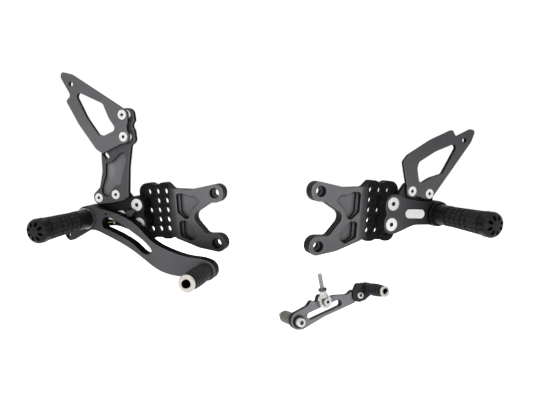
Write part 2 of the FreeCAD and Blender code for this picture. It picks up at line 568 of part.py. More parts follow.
def brake_pedal():
    """Arched arm with a long curved slot, its hub, its rear lug and its toe boss."""
    hub_top, hub_low, toe_top, toe_low = 82, -84, 66, -102
    over = [polar((0, 0), PEDAL_HUB_R, hub_top), (20, 12.4), (46.7, 5.0), (74.5, -10.8), (93, -29.5),
            (117, -42.2), (147, -50.4), polar(TOE_AT, TOE_BOSS_R, toe_top)]
    under = [polar(TOE_AT, TOE_BOSS_R, toe_low), (134, -75.2), (101.5, -68), (77.4, -51.3), (49.7, -33.5),
             (20.8, -19.7), polar((0, 0), PEDAL_HUB_R, hub_low)]
    wire = Part.Wire([curve(over, hub_top - 90, toe_top - 90),
                      arc_round(TOE_AT, TOE_BOSS_R, toe_top, toe_low),
                      curve(under, toe_low - 90, hub_low - 90),
                      arc_round((0, 0), PEDAL_HUB_R, hub_low, hub_top - 360)])
    body = Part.Face(wire).extrude(Vector(0, 0, PEDAL_THICK))
    upper = [(33, 1.6), (52.6, -8.1), (69.5, -19.8), (83.5, -30.3), (90.8, -38.2)]
    lower = [(87, -47.6), (81.5, -46.2), (71, -37.4), (57.6, -27.9), (43.6, -20.7), (25, -12.8)]
    nose = Part.Arc(Vector(*upper[-1], 0), Vector(92.4, -44.2, 0), Vector(*lower[0], 0)).toShape()
    heel = Part.Arc(Vector(*lower[-1], 0), Vector(23.5, -4, 0), Vector(*upper[0], 0)).toShape()
    slot = Part.Face(Part.Wire([curve(upper), nose, curve(lower), heel]))
    slot.translate(Vector(0, 0, -1))
    slot = slot.extrude(Vector(0, 0, PEDAL_THICK + 2))
    body = break_edges(body, PEDAL_THICK, EDGE_CHAMFER)
    body = body.cut(slot)
    body.translate(Vector(0, 0, HUB_BACK))
    lug_x, lug_y = REAR_LUG
    rear = [(0, 9, 2), (lug_x - 7.5, lug_y + 6, 8), (lug_x - 1, lug_y - 10, 8), (6, -13, 2)]
    body = body.fuse(slab(rear, HUB_BACK, HUB_BACK + REAR_LUG_THICK)).removeSplitter()
    body = body.cut(rod((0, 0), BUSH_OUT_R, HUB_BACK - 1, HUB_FACE + 1))
    body = body.cut(rod((30.5, 5.4), 1.6, HUB_BACK - 1, HUB_FACE + 1))
    body = body.cut(rod(REAR_LUG, REAR_PIN_R + CLEAR, HUB_BACK - 1, HUB_FACE + 1))
    body = body.cut(rod(TOE_AT, M8 + CLEAR, HUB_BACK - 1, HUB_FACE + 1))
    body = body.cut(rod(TOE_AT, 7.2, HUB_BACK - 1, HUB_BACK + 5))
    hook = polar((0, 0), SPRING_HOOK_R, HOOK_ANGLE + SPRING_LIFT + CARRIER_TURN["brake"])
    body = body.cut(rod(hook, SPRING_WIRE_R + 0.1, HUB_BACK - 1, HUB_BACK + 5))
    return on_pedal(body)


def pedal_bushes():
    half = PEDAL_THICK / 2 - 0.5
    back = tube((0, 0), BUSH_FLANGE_R, BUSH_IN_R, HUB_BACK - BUSH_FLANGE, HUB_BACK)
    back = back.fuse(tube((0, 0), BUSH_OUT_R, BUSH_IN_R, HUB_BACK, HUB_BACK + half))
    front = tube((0, 0), BUSH_FLANGE_R, BUSH_IN_R, HUB_FACE, HUB_FACE + BUSH_FLANGE)
    front = front.fuse(tube((0, 0), BUSH_OUT_R, BUSH_IN_R, HUB_FACE - half, HUB_FACE))
    return on_pedal(Part.makeCompound([back.removeSplitter(), front.removeSplitter()]))


def toe_sleeve(at, base, length, ribs, core, thin, bulge):
    """Barrel-shaped ribbed sleeve: the ribs follow a bowed outline from thin ends to a fuller middle."""
    pitch = length / ribs
    profile = []
    for rib in range(ribs):
        low, middle = rib * pitch, (rib + 0.5) * pitch
        radius = thin + bulge * math.sin(math.pi * middle / length)
        profile += [(radius - 1.1, low), (radius - 1.1, low + 0.22 * pitch), (radius, low + 0.38 * pitch),
                    (radius, low + 0.84 * pitch), (radius - 1.1, low + pitch)]
    body = turned([(r, base + z) for r, z in profile], at)
    return body.cut(rod(at, core, base - 1, base + length + 1))


def toe_core(at, base, length, core, bore, end, end_thick):
    """Bright tube inside the sleeve with a flanged outer end."""
    top = base + length
    body = turned([(core, base), (core, top), (end - 0.6, top), (end, top + 0.6),
                   (end, top + end_thick - 0.6), (end - 0.8, top + end_thick)], at)
    cut = turned([(bore, top - 8), (bore, top + end_thick - 0.8), (bore + 1, top + end_thick + 0.2),
                  (bore + 1, top + end_thick + 1)], at)
    return body.cut(cut)


def brake_toe():
    sleeve = toe_sleeve(TOE_AT, HUB_FACE, TOE_LONG, TOE_RIBS, TOE_CORE_R + 0.05, TOE_THIN_R, TOE_BULGE)
    core = toe_core(TOE_AT, HUB_FACE, TOE_LONG, TOE_CORE_R, TOE_BORE_R, TOE_END_R, TOE_END_THICK)
    core = core.cut(rod(TOE_AT, M8 + FIT, HUB_FACE - 1, HUB_FACE + 22))
    seat = HUB_BACK + 5
    bolt = turned([(6.6, HUB_BACK + 0.3), (6.6, seat), (M8, seat), (M8, HUB_FACE + 20)], TOE_AT)
    bolt = bolt.cut(hexagon(TOE_AT, 6.0, HUB_BACK, HUB_BACK + 3))
    return {
        "brake_toe_sleeve": on_pedal(sleeve),
        "brake_toe_core": on_pedal(core),
        "brake_toe_bolt": on_pedal(bolt),
    }


def pivot_sleeve():
    """Sleeve that the hub turns on, with a shoulder behind the inner bush."""
    seat = CARRIER_FACE + THRUST
    body = turned([(SPRING_POST_R - 0.2, CARRIER_FACE), (SPRING_POST_R - 0.2, seat), (SLEEVE_R, seat),
                   (SLEEVE_R, SLEEVE_END)], PEG_AXIS)
    return on_carrier(body.cut(rod(PEG_AXIS, M8 + CLEAR, CARRIER_FACE - 1, SLEEVE_END + 1)), "brake")


def outer_washer():
    return on_carrier(tube(PEG_AXIS, BUSH_FLANGE_R, M8 + CLEAR, SLEEVE_END, SLEEVE_END + THRUST), "brake")


def stop_screw():
    """Hexagon-headed screw that the pedal's upper edge comes up against."""
    head = hexagon(STOP_AT, STOP_HEX, CARRIER_FACE, CARRIER_FACE + STOP_TALL)
    return on_carrier(head.fuse(rod(STOP_AT, M6, 5, CARRIER_FACE)), "brake")


SPRING_PLACE = about(PEG_AXIS, SPRING_LIFT)
SPRING_PIN_AT = (SPRING_LEG - 3, -SPRING_COIL_R - SPRING_WIRE_R - SPRING_PIN_R - 0.05)
HOOK_ANGLE = -90 - 360 * SPRING_TURNS


def spring_well():
    """Cutter for the coil's ring-shaped well and the groove in which the fixed leg climbs to the face."""
    floor = CARRIER_FACE - SPRING_WELL_DEEP
    ring = tube((0, 0), SPRING_WELL_R, SPRING_POST_R, floor, CARRIER_FACE + 1)
    groove = Part.makeBox(SPRING_CLIMB, SPRING_WELL_R - SPRING_POST_R, SPRING_WELL_DEEP + 1,
                          Vector(0, -SPRING_WELL_R, floor))
    return moved(ring.fuse(groove), SPRING_PLACE)


def spring_pin():
    """Pin in the carrier that holds the fixed leg from below."""
    return on_carrier(moved(rod(SPRING_PIN_AT, SPRING_PIN_R, 11, CARRIER_FACE + 2.6), SPRING_PLACE), "brake")


def wire_through(points):
    """Round wire along straight runs with ball corners."""
    shapes = []
    for here, there in zip(points, points[1:]):
        run = there - here
        shapes.append(Part.makeCylinder(SPRING_WIRE_R, run.Length, here, run))
        shapes.append(Part.makeSphere(SPRING_WIRE_R, here))
    return shapes


def return_spring():
    """Coil in the carrier's well: a long leg over the carrier's face and a hook into the pedal's hub."""
    low = CARRIER_FACE - SPRING_WELL_DEEP + SPRING_WIRE_R + SPRING_PLAY
    over = CARRIER_FACE + SPRING_WIRE_R + 0.1
    high = low + SPRING_TURNS * SPRING_PITCH
    steps = round(12 * SPRING_TURNS)
    places = [polar((0, 0), SPRING_COIL_R, -90 - 360 * SPRING_TURNS * i / steps) for i in range(steps + 1)]
    line = Part.BSplineCurve()
    line.interpolate([Vector(x, y, low + (high - low) * i / steps) for i, (x, y) in enumerate(places)])
    ring = Part.Wire(Part.makeCircle(SPRING_WIRE_R, Vector(0, -SPRING_COIL_R, low), Vector(1, 0, 0)))
    coil = Part.Wire(line.toShape()).makePipeShell([ring], True, True)
    leg = [Vector(0, -SPRING_COIL_R, low), Vector(SPRING_RUN, -SPRING_COIL_R, low),
           Vector(SPRING_CLIMB, -SPRING_COIL_R, over), Vector(SPRING_LEG, -SPRING_COIL_R, over)]
    hook = [Vector(*polar((0, 0), SPRING_COIL_R, HOOK_ANGLE), high),
            Vector(*polar((0, 0), SPRING_COIL_R, HOOK_ANGLE), over),
            Vector(*polar((0, 0), SPRING_HOOK_R, HOOK_ANGLE), over),
            Vector(*polar((0, 0), SPRING_HOOK_R, HOOK_ANGLE), HUB_BACK + 4)]
    body = coil.fuse(wire_through(leg) + wire_through(hook))
    return on_carrier(moved(body, SPRING_PLACE), "brake")


# ---------------------------------------------------------------- shift lever
def on_lever(shape):
    return moved(shape, LEVER_PLACE)


def lever_arm():
    edge = [(-9.5, -10.5, 10.5), (6, -11.3, 12), (40, 1.2, 40), (85, 12.6, 10), (100, 18, 6), (104, 27, 5),
            (88, 32, 8), (80, 26, 10), (58, 27.5, 40), (47, 25.5, 4), (44, 31, 5), (33, 31, 5), (30, 20, 3),
            (24.5, 24.5, 3), (20.5, 24, 4), (16, 18.2, 8), (3, 13.6, 15), (-11, 9, 11)]
    body = slab(edge, -ARM_THICK, 0)
    body = break_edges(break_edges(body, 0, 0.6), -ARM_THICK, 0.6)
    slot = [(12.5, 8.2, 4.6), (15.2, -1.2, 4.6), (69, 12.9, 4.6), (66.3, 22.3, 4.6)]
    body = body.cut(slab(slot, -ARM_THICK - 1, 1))
    recess = [(92, 12, 1), (110, 12, 1), (110, 45, 1), (84, 45, 1), (84, 31, 1)]
    body = body.cut(slab(recess, -ARM_THICK + ELBOW_LAP, 1))
    body = body.cut(rod(ELBOW_AT, ELBOW_R + 0.6, -ARM_THICK + ELBOW_LAP, 1))
    body = body.cut(rod((0, 0), ARM_BUSH_OUT_R, -ARM_THICK - 1, 1))
    body = body.cut(rod(ROD_AT, M6 + FIT, -ARM_THICK - 1, 1))
    body = body.cut(rod(ELBOW_AT, M5 + FIT, -ARM_THICK - 1, 1))
    return on_lever(body)


def lever_bushes():
    half = ARM_THICK / 2 - 0.4
    pair = []
    for face, sign in ((0.0, 1), (-ARM_THICK, -1)):
        rim = sorted((face, face + sign * ARM_BUSH_FLANGE))
        body = sorted((face, face - sign * half))
        flange = tube((0, 0), ARM_BUSH_FLANGE_R, ARM_BUSH_IN_R, *rim)
        pair.append(flange.fuse(tube((0, 0), ARM_BUSH_OUT_R, ARM_BUSH_IN_R, *body)).removeSplitter())
    return on_lever(Part.makeCompound(pair))


LEVER_FRONT = ARM_BUSH_FLANGE + RUN
LEVER_BACK = -ARM_THICK - ARM_BUSH_FLANGE - RUN


def pivot_spacer():
    """Dark turned spacer: a thin end inside the bushes and a thick knurled body behind the lever."""
    end = LEVER_BACK - ARM_SPACER_LONG
    body = turned([(ARM_SPACER_R - 0.8, end), (ARM_SPACER_R, end + 0.8), (ARM_SPACER_R, LEVER_BACK),
                   (ARM_SLEEVE_R, LEVER_BACK), (ARM_SLEEVE_R, LEVER_FRONT)])
    return on_lever(body.cut(rod((0, 0), M8 + CLEAR, end - 1, LEVER_FRONT + 1)))


def pivot_washer():
    return on_lever(tube((0, 0), ARM_WASHER_R, M8 + CLEAR, LEVER_FRONT, LEVER_FRONT + ARM_WASHER_THICK))


def pivot_bolt():
    """Hexagon-headed bolt whose end threads into the engine case."""
    seat = LEVER_FRONT + ARM_WASHER_THICK
    start = LEVER_BACK - ARM_SPACER_LONG - THREAD_RELIEF
    end = LEVER_BACK - ARM_SPACER_LONG - ARM_STUD_LONG
    body = turned([(M8 - 0.8, end), (M8, end + 0.8), (M8, start), (ARM_SHANK_R, start), (ARM_SHANK_R, seat),
                   (ARM_HEAD_R, seat),
                   (ARM_HEAD_R, seat + ARM_HEAD_TALL - 0.7), (ARM_HEAD_R - 0.7, seat + ARM_HEAD_TALL)])
    return on_lever(body.cut(hexagon((0, 0), 5.5, seat + ARM_HEAD_TALL - 4, seat + ARM_HEAD_TALL + 1)))


BALL_LOW = ROD_SPACER
BALL_HIGH = BALL_LOW + BALL_WIDE
BALL_MID = (BALL_LOW + BALL_HIGH) / 2


def rod_parts():
    """Rod end on the lever: washer, ball and bolt stay with the lever, the eye turns on the ball."""
    washer = tube(ROD_AT, 5.0, M6 + CLEAR, 0, BALL_LOW)
    ball = Part.makeSphere(BALL_R, Vector(ROD_AT[0], ROD_AT[1], BALL_MID))
    ball = ball.common(rod(ROD_AT, BALL_R, BALL_LOW, BALL_HIGH))
    ball = ball.cut(rod(ROD_AT, M6 + CLEAR, BALL_LOW - 1, BALL_HIGH + 1))
    head = BALL_HIGH + ROD_HEAD_TALL
    bolt = turned([(M6, -ARM_THICK + 1), (M6, BALL_HIGH), (ROD_HEAD_R, BALL_HIGH), (ROD_HEAD_R, head - 0.6),
                   (ROD_HEAD_R - 0.6, head)], ROD_AT)
    bolt = bolt.cut(hexagon(ROD_AT, M6_HEX, head - 3, head + 1))
    return {
        "rod_end_washer": on_lever(washer),
        "rod_end_ball": on_lever(ball),
        "rod_end_bolt": on_lever(bolt),
    }


def along_rod(shape):
    """From a frame with z along the link rod to the lever's frame."""
    lean = Rotation(Vector(0, 0, 1), ROD_LEAN).multiply(Rotation(Vector(1, 0, 0), -90))
    return moved(shape, Placement(Vector(ROD_AT[0], ROD_AT[1], BALL_MID), lean))


def link_parts():
    """What swings on the ball: the eye, its grease nipple, the lock nut and the threaded link rod."""
    eye = rod(ROD_AT, EYE_R, BALL_MID - EYE_WIDE / 2, BALL_MID + EYE_WIDE / 2)
    neck = along_rod(Part.makeCone(5.8, 4.2, EYE_NECK - 5, Vector(0, 0, 5)))
    eye = eye.fuse(neck).cut(Part.makeSphere(BALL_R + 0.05, Vector(ROD_AT[0], ROD_AT[1], BALL_MID)))
    eye = eye.cut(along_rod(rod((0, 0), ROD_ROOT_R + FIT, EYE_R, EYE_NECK + 1)))
    centre = Vector(ROD_AT[0], ROD_AT[1], BALL_MID)
    nipple = Part.makeCylinder(NIPPLE_R, NIPPLE_LONG, centre + heading(NIPPLE_ANGLE) * (EYE_R - 0.9),
                               heading(NIPPLE_ANGLE))
    eye = eye.cut(nipple)
    nut_top = EYE_NECK + NUT_THICK
    nut = hexagon((0, 0), NUT_HEX, EYE_NECK, nut_top).cut(rod((0, 0), ROD_ROOT_R + FIT, 0, nut_top + 1))
    start = nut_top + THREAD_RELIEF
    tip = EYE_NECK + ROD_LONG
    link = turned([(ROD_ROOT_R, EYE_R + 0.5), (ROD_ROOT_R, start), (ROD_R, start), (ROD_R, tip - 0.7),
                   (ROD_R - 0.7, tip)])
    return {"rod_end_eye": on_lever(eye), "grease_nipple": on_lever(nipple),
            "lock_nut": on_lever(along_rod(nut)), "link_rod": on_lever(along_rod(link))}


ELBOW_BACK = -ARM_THICK + ELBOW_LAP + 0.05
ELBOW_FACE = 4.0


def toe_elbow():
    """Short crank that carries the toe peg and can be set round the screw at the lever's end."""
    x, y = SHIFT_TOE_AT
    edge = [(90, 33, 3), (94.5, 40, 4), (x + 9.5, y + 7.5, 6), (x + 9.5, y - 8, 6),
            (ELBOW_AT[0] + 8, 15.5, 7), (ELBOW_AT[0] - 7, 15.5, 7)]
    body = slab(edge, ELBOW_BACK, ELBOW_FACE)
    body = body.fuse(rod(ELBOW_AT, ELBOW_R, ELBOW_BACK, ELBOW_FACE)).removeSplitter()
    body = break_edges(body, ELBOW_FACE, 0.6)
    body = body.cut(rod(ELBOW_AT, M5 + CLEAR, ELBOW_BACK - 1, ELBOW_FACE + 1))
    body = body.cut(rod(SHIFT_TOE_AT, M5 + FIT, ELBOW_BACK - 1, ELBOW_FACE + 1))
    return on_lever(body)


def elbow_screw():
    head = ELBOW_FACE + M5_HEAD_TALL
    body = turned([(M5, -ARM_THICK + 0.5), (M5, ELBOW_FACE), (M5_HEAD, ELBOW_FACE), (M5_HEAD, head - 0.6),
                   (M5_HEAD - 0.6, head)], ELBOW_AT)
    return on_lever(body.cut(hexagon(ELBOW_AT, M5_HEX, head - 2.5, head + 1)))


def shift_toe():
    sleeve = toe_sleeve(SHIFT_TOE_AT, ELBOW_FACE, SHIFT_TOE_LONG, SHIFT_TOE_RIBS, SHIFT_TOE_CORE_R + 0.05,
                        SHIFT_TOE_THIN_R, TOE_BULGE)
    core = toe_core(SHIFT_TOE_AT, ELBOW_FACE, SHIFT_TOE_LONG, SHIFT_TOE_CORE_R, SHIFT_TOE_BORE_R,
                    SHIFT_TOE_END_R, 2.0)
    stud = rod(SHIFT_TOE_AT, M5, ELBOW_BACK + 0.2, ELBOW_FACE + 18)
    core = core.cut(rod(SHIFT_TOE_AT, M5 + FIT, ELBOW_FACE - 1, ELBOW_FACE + 20))
    return {
        "shift_toe_sleeve": on_lever(sleeve),
        "shift_toe_core": on_lever(core),
        "shift_toe_stud": on_lever(stud),
    }


# ---------------------------------------------------------------- all the nodes
def build():
    nodes = {}
    for side in ("brake", "shift"):
        base = BRAKE_PEG_BASE if side == "brake" else SHIFT_PEG_BASE
        nodes[side + "_mounting_plate"] = mounting_plate(side)
        nodes[side + "_peg_carrier"] = peg_carrier(side)
        nodes[side + "_carrier_bolts"] = carrier_bolts(side)
        nodes[side + "_blank_badge"] = badge(side)
        nodes[side + "_heel_guard"] = heel_guard(side)
        nodes[side + "_guard_screws"] = guard_screws(side)
        for name, shape in peg_parts(side, base).items():
            nodes[side + "_" + name] = shape
    flange = tube(PEG_AXIS, PEG_FLANGE_R, M8 + CLEAR, CARRIER_FACE, SHIFT_PEG_BASE)
    nodes["shift_peg_flange"] = on_carrier(flange, "shift")
    nodes["upright_bracket"] = upright_bracket()
    nodes["bracket_screws"] = bracket_screws()
    nodes["bracket_spacers"] = spacers(TAB_HOLES, TAB_FACE, TAB_FACE + BRACKET_GAP)
    nodes["guard_spacers"] = spacers(BRACKET_LOBES, BRACKET_FACE, BRAKE_GUARD_BACK)
    nodes["brake_pedal"] = brake_pedal()
    nodes["pedal_bushes"] = pedal_bushes()
    nodes["pedal_pivot_sleeve"] = pivot_sleeve()
    nodes["pedal_outer_washer"] = outer_washer()
    nodes["pedal_stop_screw"] = stop_screw()
    nodes["pedal_return_spring"] = return_spring()
    nodes["spring_pin"] = spring_pin()
    nodes.update(brake_toe())
    nodes["lever_arm"] = lever_arm()
    nodes["lever_bushes"] = lever_bushes()
    nodes["lever_pivot_spacer"] = pivot_spacer()
    nodes["lever_pivot_washer"] = pivot_washer()
    nodes["lever_pivot_bolt"] = pivot_bolt()
    nodes.update(rod_parts())
    nodes.update(link_parts())
    nodes["toe_elbow"] = toe_elbow()
    nodes["elbow_screw"] = elbow_screw()
    nodes.update(shift_toe())
    return nodes


os.makedirs("parts", exist_ok=True)
for name, shape in build().items():
    shape.exportStep("parts/" + name + ".step")
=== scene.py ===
"""Looks of a race foot peg set: a brake side, a shift side and a loose shift lever.

X runs from the brake side to the shift side, Y away from the viewer and Z up, in metres.
"""

import json
import math

import bmesh
import bpy
from mathutils import Matrix, Vector


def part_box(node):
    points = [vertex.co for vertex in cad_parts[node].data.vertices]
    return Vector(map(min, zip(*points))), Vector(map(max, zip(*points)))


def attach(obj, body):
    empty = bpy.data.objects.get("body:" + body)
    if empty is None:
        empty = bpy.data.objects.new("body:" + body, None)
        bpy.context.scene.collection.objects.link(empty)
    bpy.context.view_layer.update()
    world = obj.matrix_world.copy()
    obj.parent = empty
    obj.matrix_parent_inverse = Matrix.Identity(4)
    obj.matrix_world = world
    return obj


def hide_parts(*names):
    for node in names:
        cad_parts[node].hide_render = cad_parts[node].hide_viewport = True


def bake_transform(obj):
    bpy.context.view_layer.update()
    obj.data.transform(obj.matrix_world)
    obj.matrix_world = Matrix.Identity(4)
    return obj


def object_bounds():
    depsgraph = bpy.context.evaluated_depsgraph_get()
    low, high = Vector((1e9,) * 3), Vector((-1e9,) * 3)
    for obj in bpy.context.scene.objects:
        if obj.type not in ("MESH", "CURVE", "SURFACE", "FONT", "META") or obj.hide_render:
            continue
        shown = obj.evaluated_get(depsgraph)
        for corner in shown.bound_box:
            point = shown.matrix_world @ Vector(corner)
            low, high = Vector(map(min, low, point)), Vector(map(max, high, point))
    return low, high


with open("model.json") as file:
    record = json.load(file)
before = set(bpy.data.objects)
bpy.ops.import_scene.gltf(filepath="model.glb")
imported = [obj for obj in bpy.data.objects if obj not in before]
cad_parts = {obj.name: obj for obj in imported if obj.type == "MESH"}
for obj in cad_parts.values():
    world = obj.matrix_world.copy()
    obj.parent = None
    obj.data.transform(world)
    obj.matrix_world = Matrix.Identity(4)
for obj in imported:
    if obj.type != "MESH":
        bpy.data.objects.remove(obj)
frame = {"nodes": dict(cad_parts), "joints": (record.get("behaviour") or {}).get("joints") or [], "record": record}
cad_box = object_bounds()


# ---------------------------------------------------------------- studio
# The three groups hang before white paper. One broad soft lamp behind the viewer lights their front faces
# and a weaker one lights their backs. The plates' edges, which both only graze, fall off into deep shade.
scene = bpy.context.scene
scene.view_settings.view_transform = "Standard"

world = bpy.data.worlds.new("studio_air")
scene.world = world
world.use_nodes = True
air = world.node_tree
background = air.nodes["Background"]
background.inputs["Color"].default_value = (1, 1, 1, 1)
AMBIENT = 0.10


def sees_white(tree):
    """1 for rays that should meet the white paper: the camera's, and those off gloss and glass."""
    path = tree.nodes.new("ShaderNodeLightPath")
    total = path.outputs["Is Camera Ray"]
    for kind in ("Is Glossy Ray", "Is Transmission Ray"):
        either = tree.nodes.new("ShaderNodeMath")
        either.operation = "MAXIMUM"
        tree.links.new(total, either.inputs[0])
        tree.links.new(path.outputs[kind], either.inputs[1])
        total = either.outputs[0]
    return total


air_level = air.nodes.new("ShaderNodeMapRange")
air_level.inputs["To Min"].default_value = AMBIENT
air_level.inputs["To Max"].default_value = 1.0
air.links.new(sees_white(air), air_level.inputs["Value"])
air.links.new(air_level.outputs["Result"], background.inputs["Strength"])

CENTRE = Vector((0.06, 0.0, -0.02))
FLOOR_DROP = 0.16
FLOOR_HALF = 4.0
FLOOR_BACK = 1.2
sheet = bmesh.new()
bmesh.ops.create_grid(sheet, x_segments=1, y_segments=1, size=FLOOR_HALF)
bmesh.ops.translate(sheet, verts=sheet.verts, vec=(CENTRE.x, FLOOR_BACK, cad_box[0][2] - FLOOR_DROP))
floor_mesh = bpy.data.meshes.new("paper_floor")
sheet.to_mesh(floor_mesh)
sheet.free()
floor = bpy.data.objects.new("paper_floor", floor_mesh)
scene.collection.objects.link(floor)
PAPER_WHITE = 0.93
paper = bpy.data.materials.new("white_paper")
paper.use_nodes = True
tree = paper.node_tree
paper_shader = tree.nodes["Principled BSDF"].inputs
paper_shader["Base Color"].default_value = (PAPER_WHITE, PAPER_WHITE, PAPER_WHITE, 1)
paper_shader["Roughness"].default_value = 0.9
paper_shader["Specular IOR Level"].default_value = 0.0
glow = tree.nodes.new("ShaderNodeMix")
glow.data_type = "RGBA"
glow.inputs[6].default_value = (0, 0, 0, 1)
glow.inputs[7].default_value = (PAPER_WHITE, PAPER_WHITE, PAPER_WHITE, 1)
tree.links.new(sees_white(tree), glow.inputs[0])
tree.links.new(glow.outputs[2], paper_shader["Emission Color"])
paper_shader["Emission Strength"].default_value = 1.0
floor_mesh.materials.append(paper)


def softbox(name, place, watts, wide, tall, in_gloss=True):
    """Rectangular soft lamp aimed at the set's middle."""
    lamp = bpy.data.lights.new(name, "AREA")
    lamp.shape = "RECTANGLE"
    lamp.size = wide
    lamp.size_y = tall
    lamp.energy = watts
    holder = bpy.data.objects.new(name, lamp)
    holder.location = place
    holder.rotation_euler = (CENTRE - Vector(place)).to_track_quat("-Z", "Y").to_euler()
    holder.visible_glossy = in_gloss
    scene.collection.objects.link(holder)


softbox("front_softbox", (0.0, -1.9, 0.20), 31, 1.5, 1.1, in_gloss=False)
softbox("upper_strip", (-0.3, -0.9, 1.1), 2.0, 0.9, 0.2)
softbox("rear_softbox", (0.1, 1.9, 0.25), 17, 1.5, 1.1, in_gloss=False)

CAMERA_PLACE = (0.0609, -0.5735, 0.0558)
CAMERA_PITCH = 6.59
CAMERA_LENS = 30.39
camera_data = bpy.data.cameras.new("camera")
camera_data.lens = CAMERA_LENS
camera_data.sensor_width = 36.0
camera_data.clip_start = 0.01
camera = bpy.data.objects.new("camera", camera_data)
camera.location = CAMERA_PLACE
camera.rotation_euler = (math.radians(90 - CAMERA_PITCH), 0, 0)
scene.collection.objects.link(camera)
scene.camera = camera


# ---------------------------------------------------------------- mounting plates
# Milled from aluminium plate, bead blasted and anodised black. The dye lies a little uneven, and the
# blasting leaves a fine grain that softens every reflection.
MM = 0.001


class Number:
    """A number that varies over a surface. Arithmetic on it adds Math nodes."""

    def __init__(self, finish, socket):
        self.finish = finish
        self.socket = socket

    def with_other(self, operation, first, second=0.0):
        node = self.finish.node("ShaderNodeMath", {"operation": operation}, {0: first, 1: second})
        return Number(self.finish, node.outputs[0])

    def __add__(self, other):
        return self.with_other("ADD", self, other)

    def __radd__(self, other):
        return self.with_other("ADD", other, self)

    def __sub__(self, other):
        return self.with_other("SUBTRACT", self, other)

    def __rsub__(self, other):
        return self.with_other("SUBTRACT", other, self)

    def __mul__(self, other):
        return self.with_other("MULTIPLY", self, other)

    def __rmul__(self, other):
        return self.with_other("MULTIPLY", other, self)

    def __truediv__(self, other):
        return self.with_other("DIVIDE", self, other)

    def __pow__(self, other):
        return self.with_other("POWER", self, other)

    def __gt__(self, other):
        return self.with_other("GREATER_THAN", self, other)

    def __lt__(self, other):
        return self.with_other("LESS_THAN", self, other)

    def __abs__(self):
        return self.with_other("ABSOLUTE", self)

    def wave(self):
        return self.with_other("SINE", self)

    def angle_from(self, other):
        return self.with_other("ARCTAN2", self, other)

    def least(self, other):
        return self.with_other("MINIMUM", self, other)

    def most(self, other):
        return self.with_other("MAXIMUM", self, other)

    def rise(self, low, high):
        """0 below the low value, 1 above the high one, and straight between."""
        return ((self - low) * (1 / (high - low))).most(0).least(1)


class Finish:
    """A material being made: its nodes, and its one surface shader."""

    def __init__(self, name, metallic=0.0, roughness=0.5, **sockets):
        self.material = bpy.data.materials.new(name)
        self.material.use_nodes = True
        self.tree = self.material.node_tree
        self.shader = self.tree.nodes["Principled BSDF"]
        self.shader.inputs["Metallic"].default_value = metallic
        self.shader.inputs["Roughness"].default_value = roughness
        for socket, value in sockets.items():
            self.shader.inputs[socket.replace("_", " ")].default_value = value

    def feed(self, socket, value):
        if isinstance(value, Number):
            self.tree.links.new(value.socket, socket)
        elif isinstance(value, bpy.types.NodeSocket):
            self.tree.links.new(value, socket)
        else:
            socket.default_value = value

    def node(self, kind, settings=None, inputs=None):
        """Any node: its settings first, then the values or links of its sockets."""
        made = self.tree.nodes.new(kind)
        for key, value in (settings or {}).items():
            setattr(made, key, value)
        for key, value in (inputs or {}).items():
            self.feed(made.inputs[key], value)
        return made

    def coordinates(self):
        return self.node("ShaderNodeTexCoord").outputs["Object"]

    def noise(self, size, detail=2.0, rough=0.5):
        """Cloudy number from 0 to 1, with lumps of about the given size in millimetres."""
        made = self.node("ShaderNodeTexNoise", inputs={"Vector": self.coordinates(), "Scale": 1 / (size * MM),
                                                       "Detail": detail, "Roughness": rough})
        return Number(self, made.outputs["Fac"])

    def crevice(self, reach):
        """1 in the open, falling to 0 where other surfaces close in within so many millimetres."""
        made = self.node("ShaderNodeAmbientOcclusion", {"samples": 8}, {"Distance": reach * MM})
        return Number(self, made.outputs["AO"])

    def along(self, centre, axis):
        """x, y and z in millimetres in a frame with its origin at the centre and z along the axis."""
        turn = Vector(axis).to_track_quat("Z", "Y").to_euler()
        made = self.node("ShaderNodeMapping", {"vector_type": "TEXTURE"},
                         {"Vector": self.coordinates(), "Location": centre, "Rotation": turn,
                          "Scale": (MM, MM, MM)})
        parts = self.node("ShaderNodeSeparateXYZ", inputs={0: made.outputs[0]})
        return [Number(self, socket) for socket in parts.outputs]

    def facing(self, axis):
        """1 where the surface faces along the axis or against it, 0 where it lies side on."""
        normal = self.node("ShaderNodeTexCoord").outputs["Normal"]
        made = self.node("ShaderNodeVectorMath", {"operation": "DOT_PRODUCT"}, {0: normal, 1: tuple(axis)})
        return abs(Number(self, made.outputs["Value"]))

    def mix(self, factor, first, second):
        made = self.node("ShaderNodeMix", {"data_type": "RGBA"}, {0: factor, 6: first, 7: second})
        return made.outputs[2]

    def base(self):
        """What feeds the base colour so far."""
        return self.shader.inputs["Base Color"].links[0].from_socket

    def colour(self, value):
        self.feed(self.shader.inputs["Base Color"], value)

    def roughness(self, value):
        self.feed(self.shader.inputs["Roughness"], value)

    def bump(self, height, depth, strength=1.0):
        """Raise the surface by the height, 0 to 1, times a depth in millimetres."""
        made = self.node("ShaderNodeBump", inputs={"Height": height, "Distance": depth * MM,
                                                   "Strength": strength})
        self.feed(self.shader.inputs["Normal"], made.outputs[0])

    def on(self, *names):
        """Put the finish on CAD nodes as they are."""
        for name in names:
            for place in frame["nodes"][name].material_slots:
                place.material = self.material
        return self


def grey(level, warm=0.0):
    """Colour from one linear level, a little warmer or cooler."""
    return (level * (1 + max(warm, 0)), level, level * (1 - warm), 1)


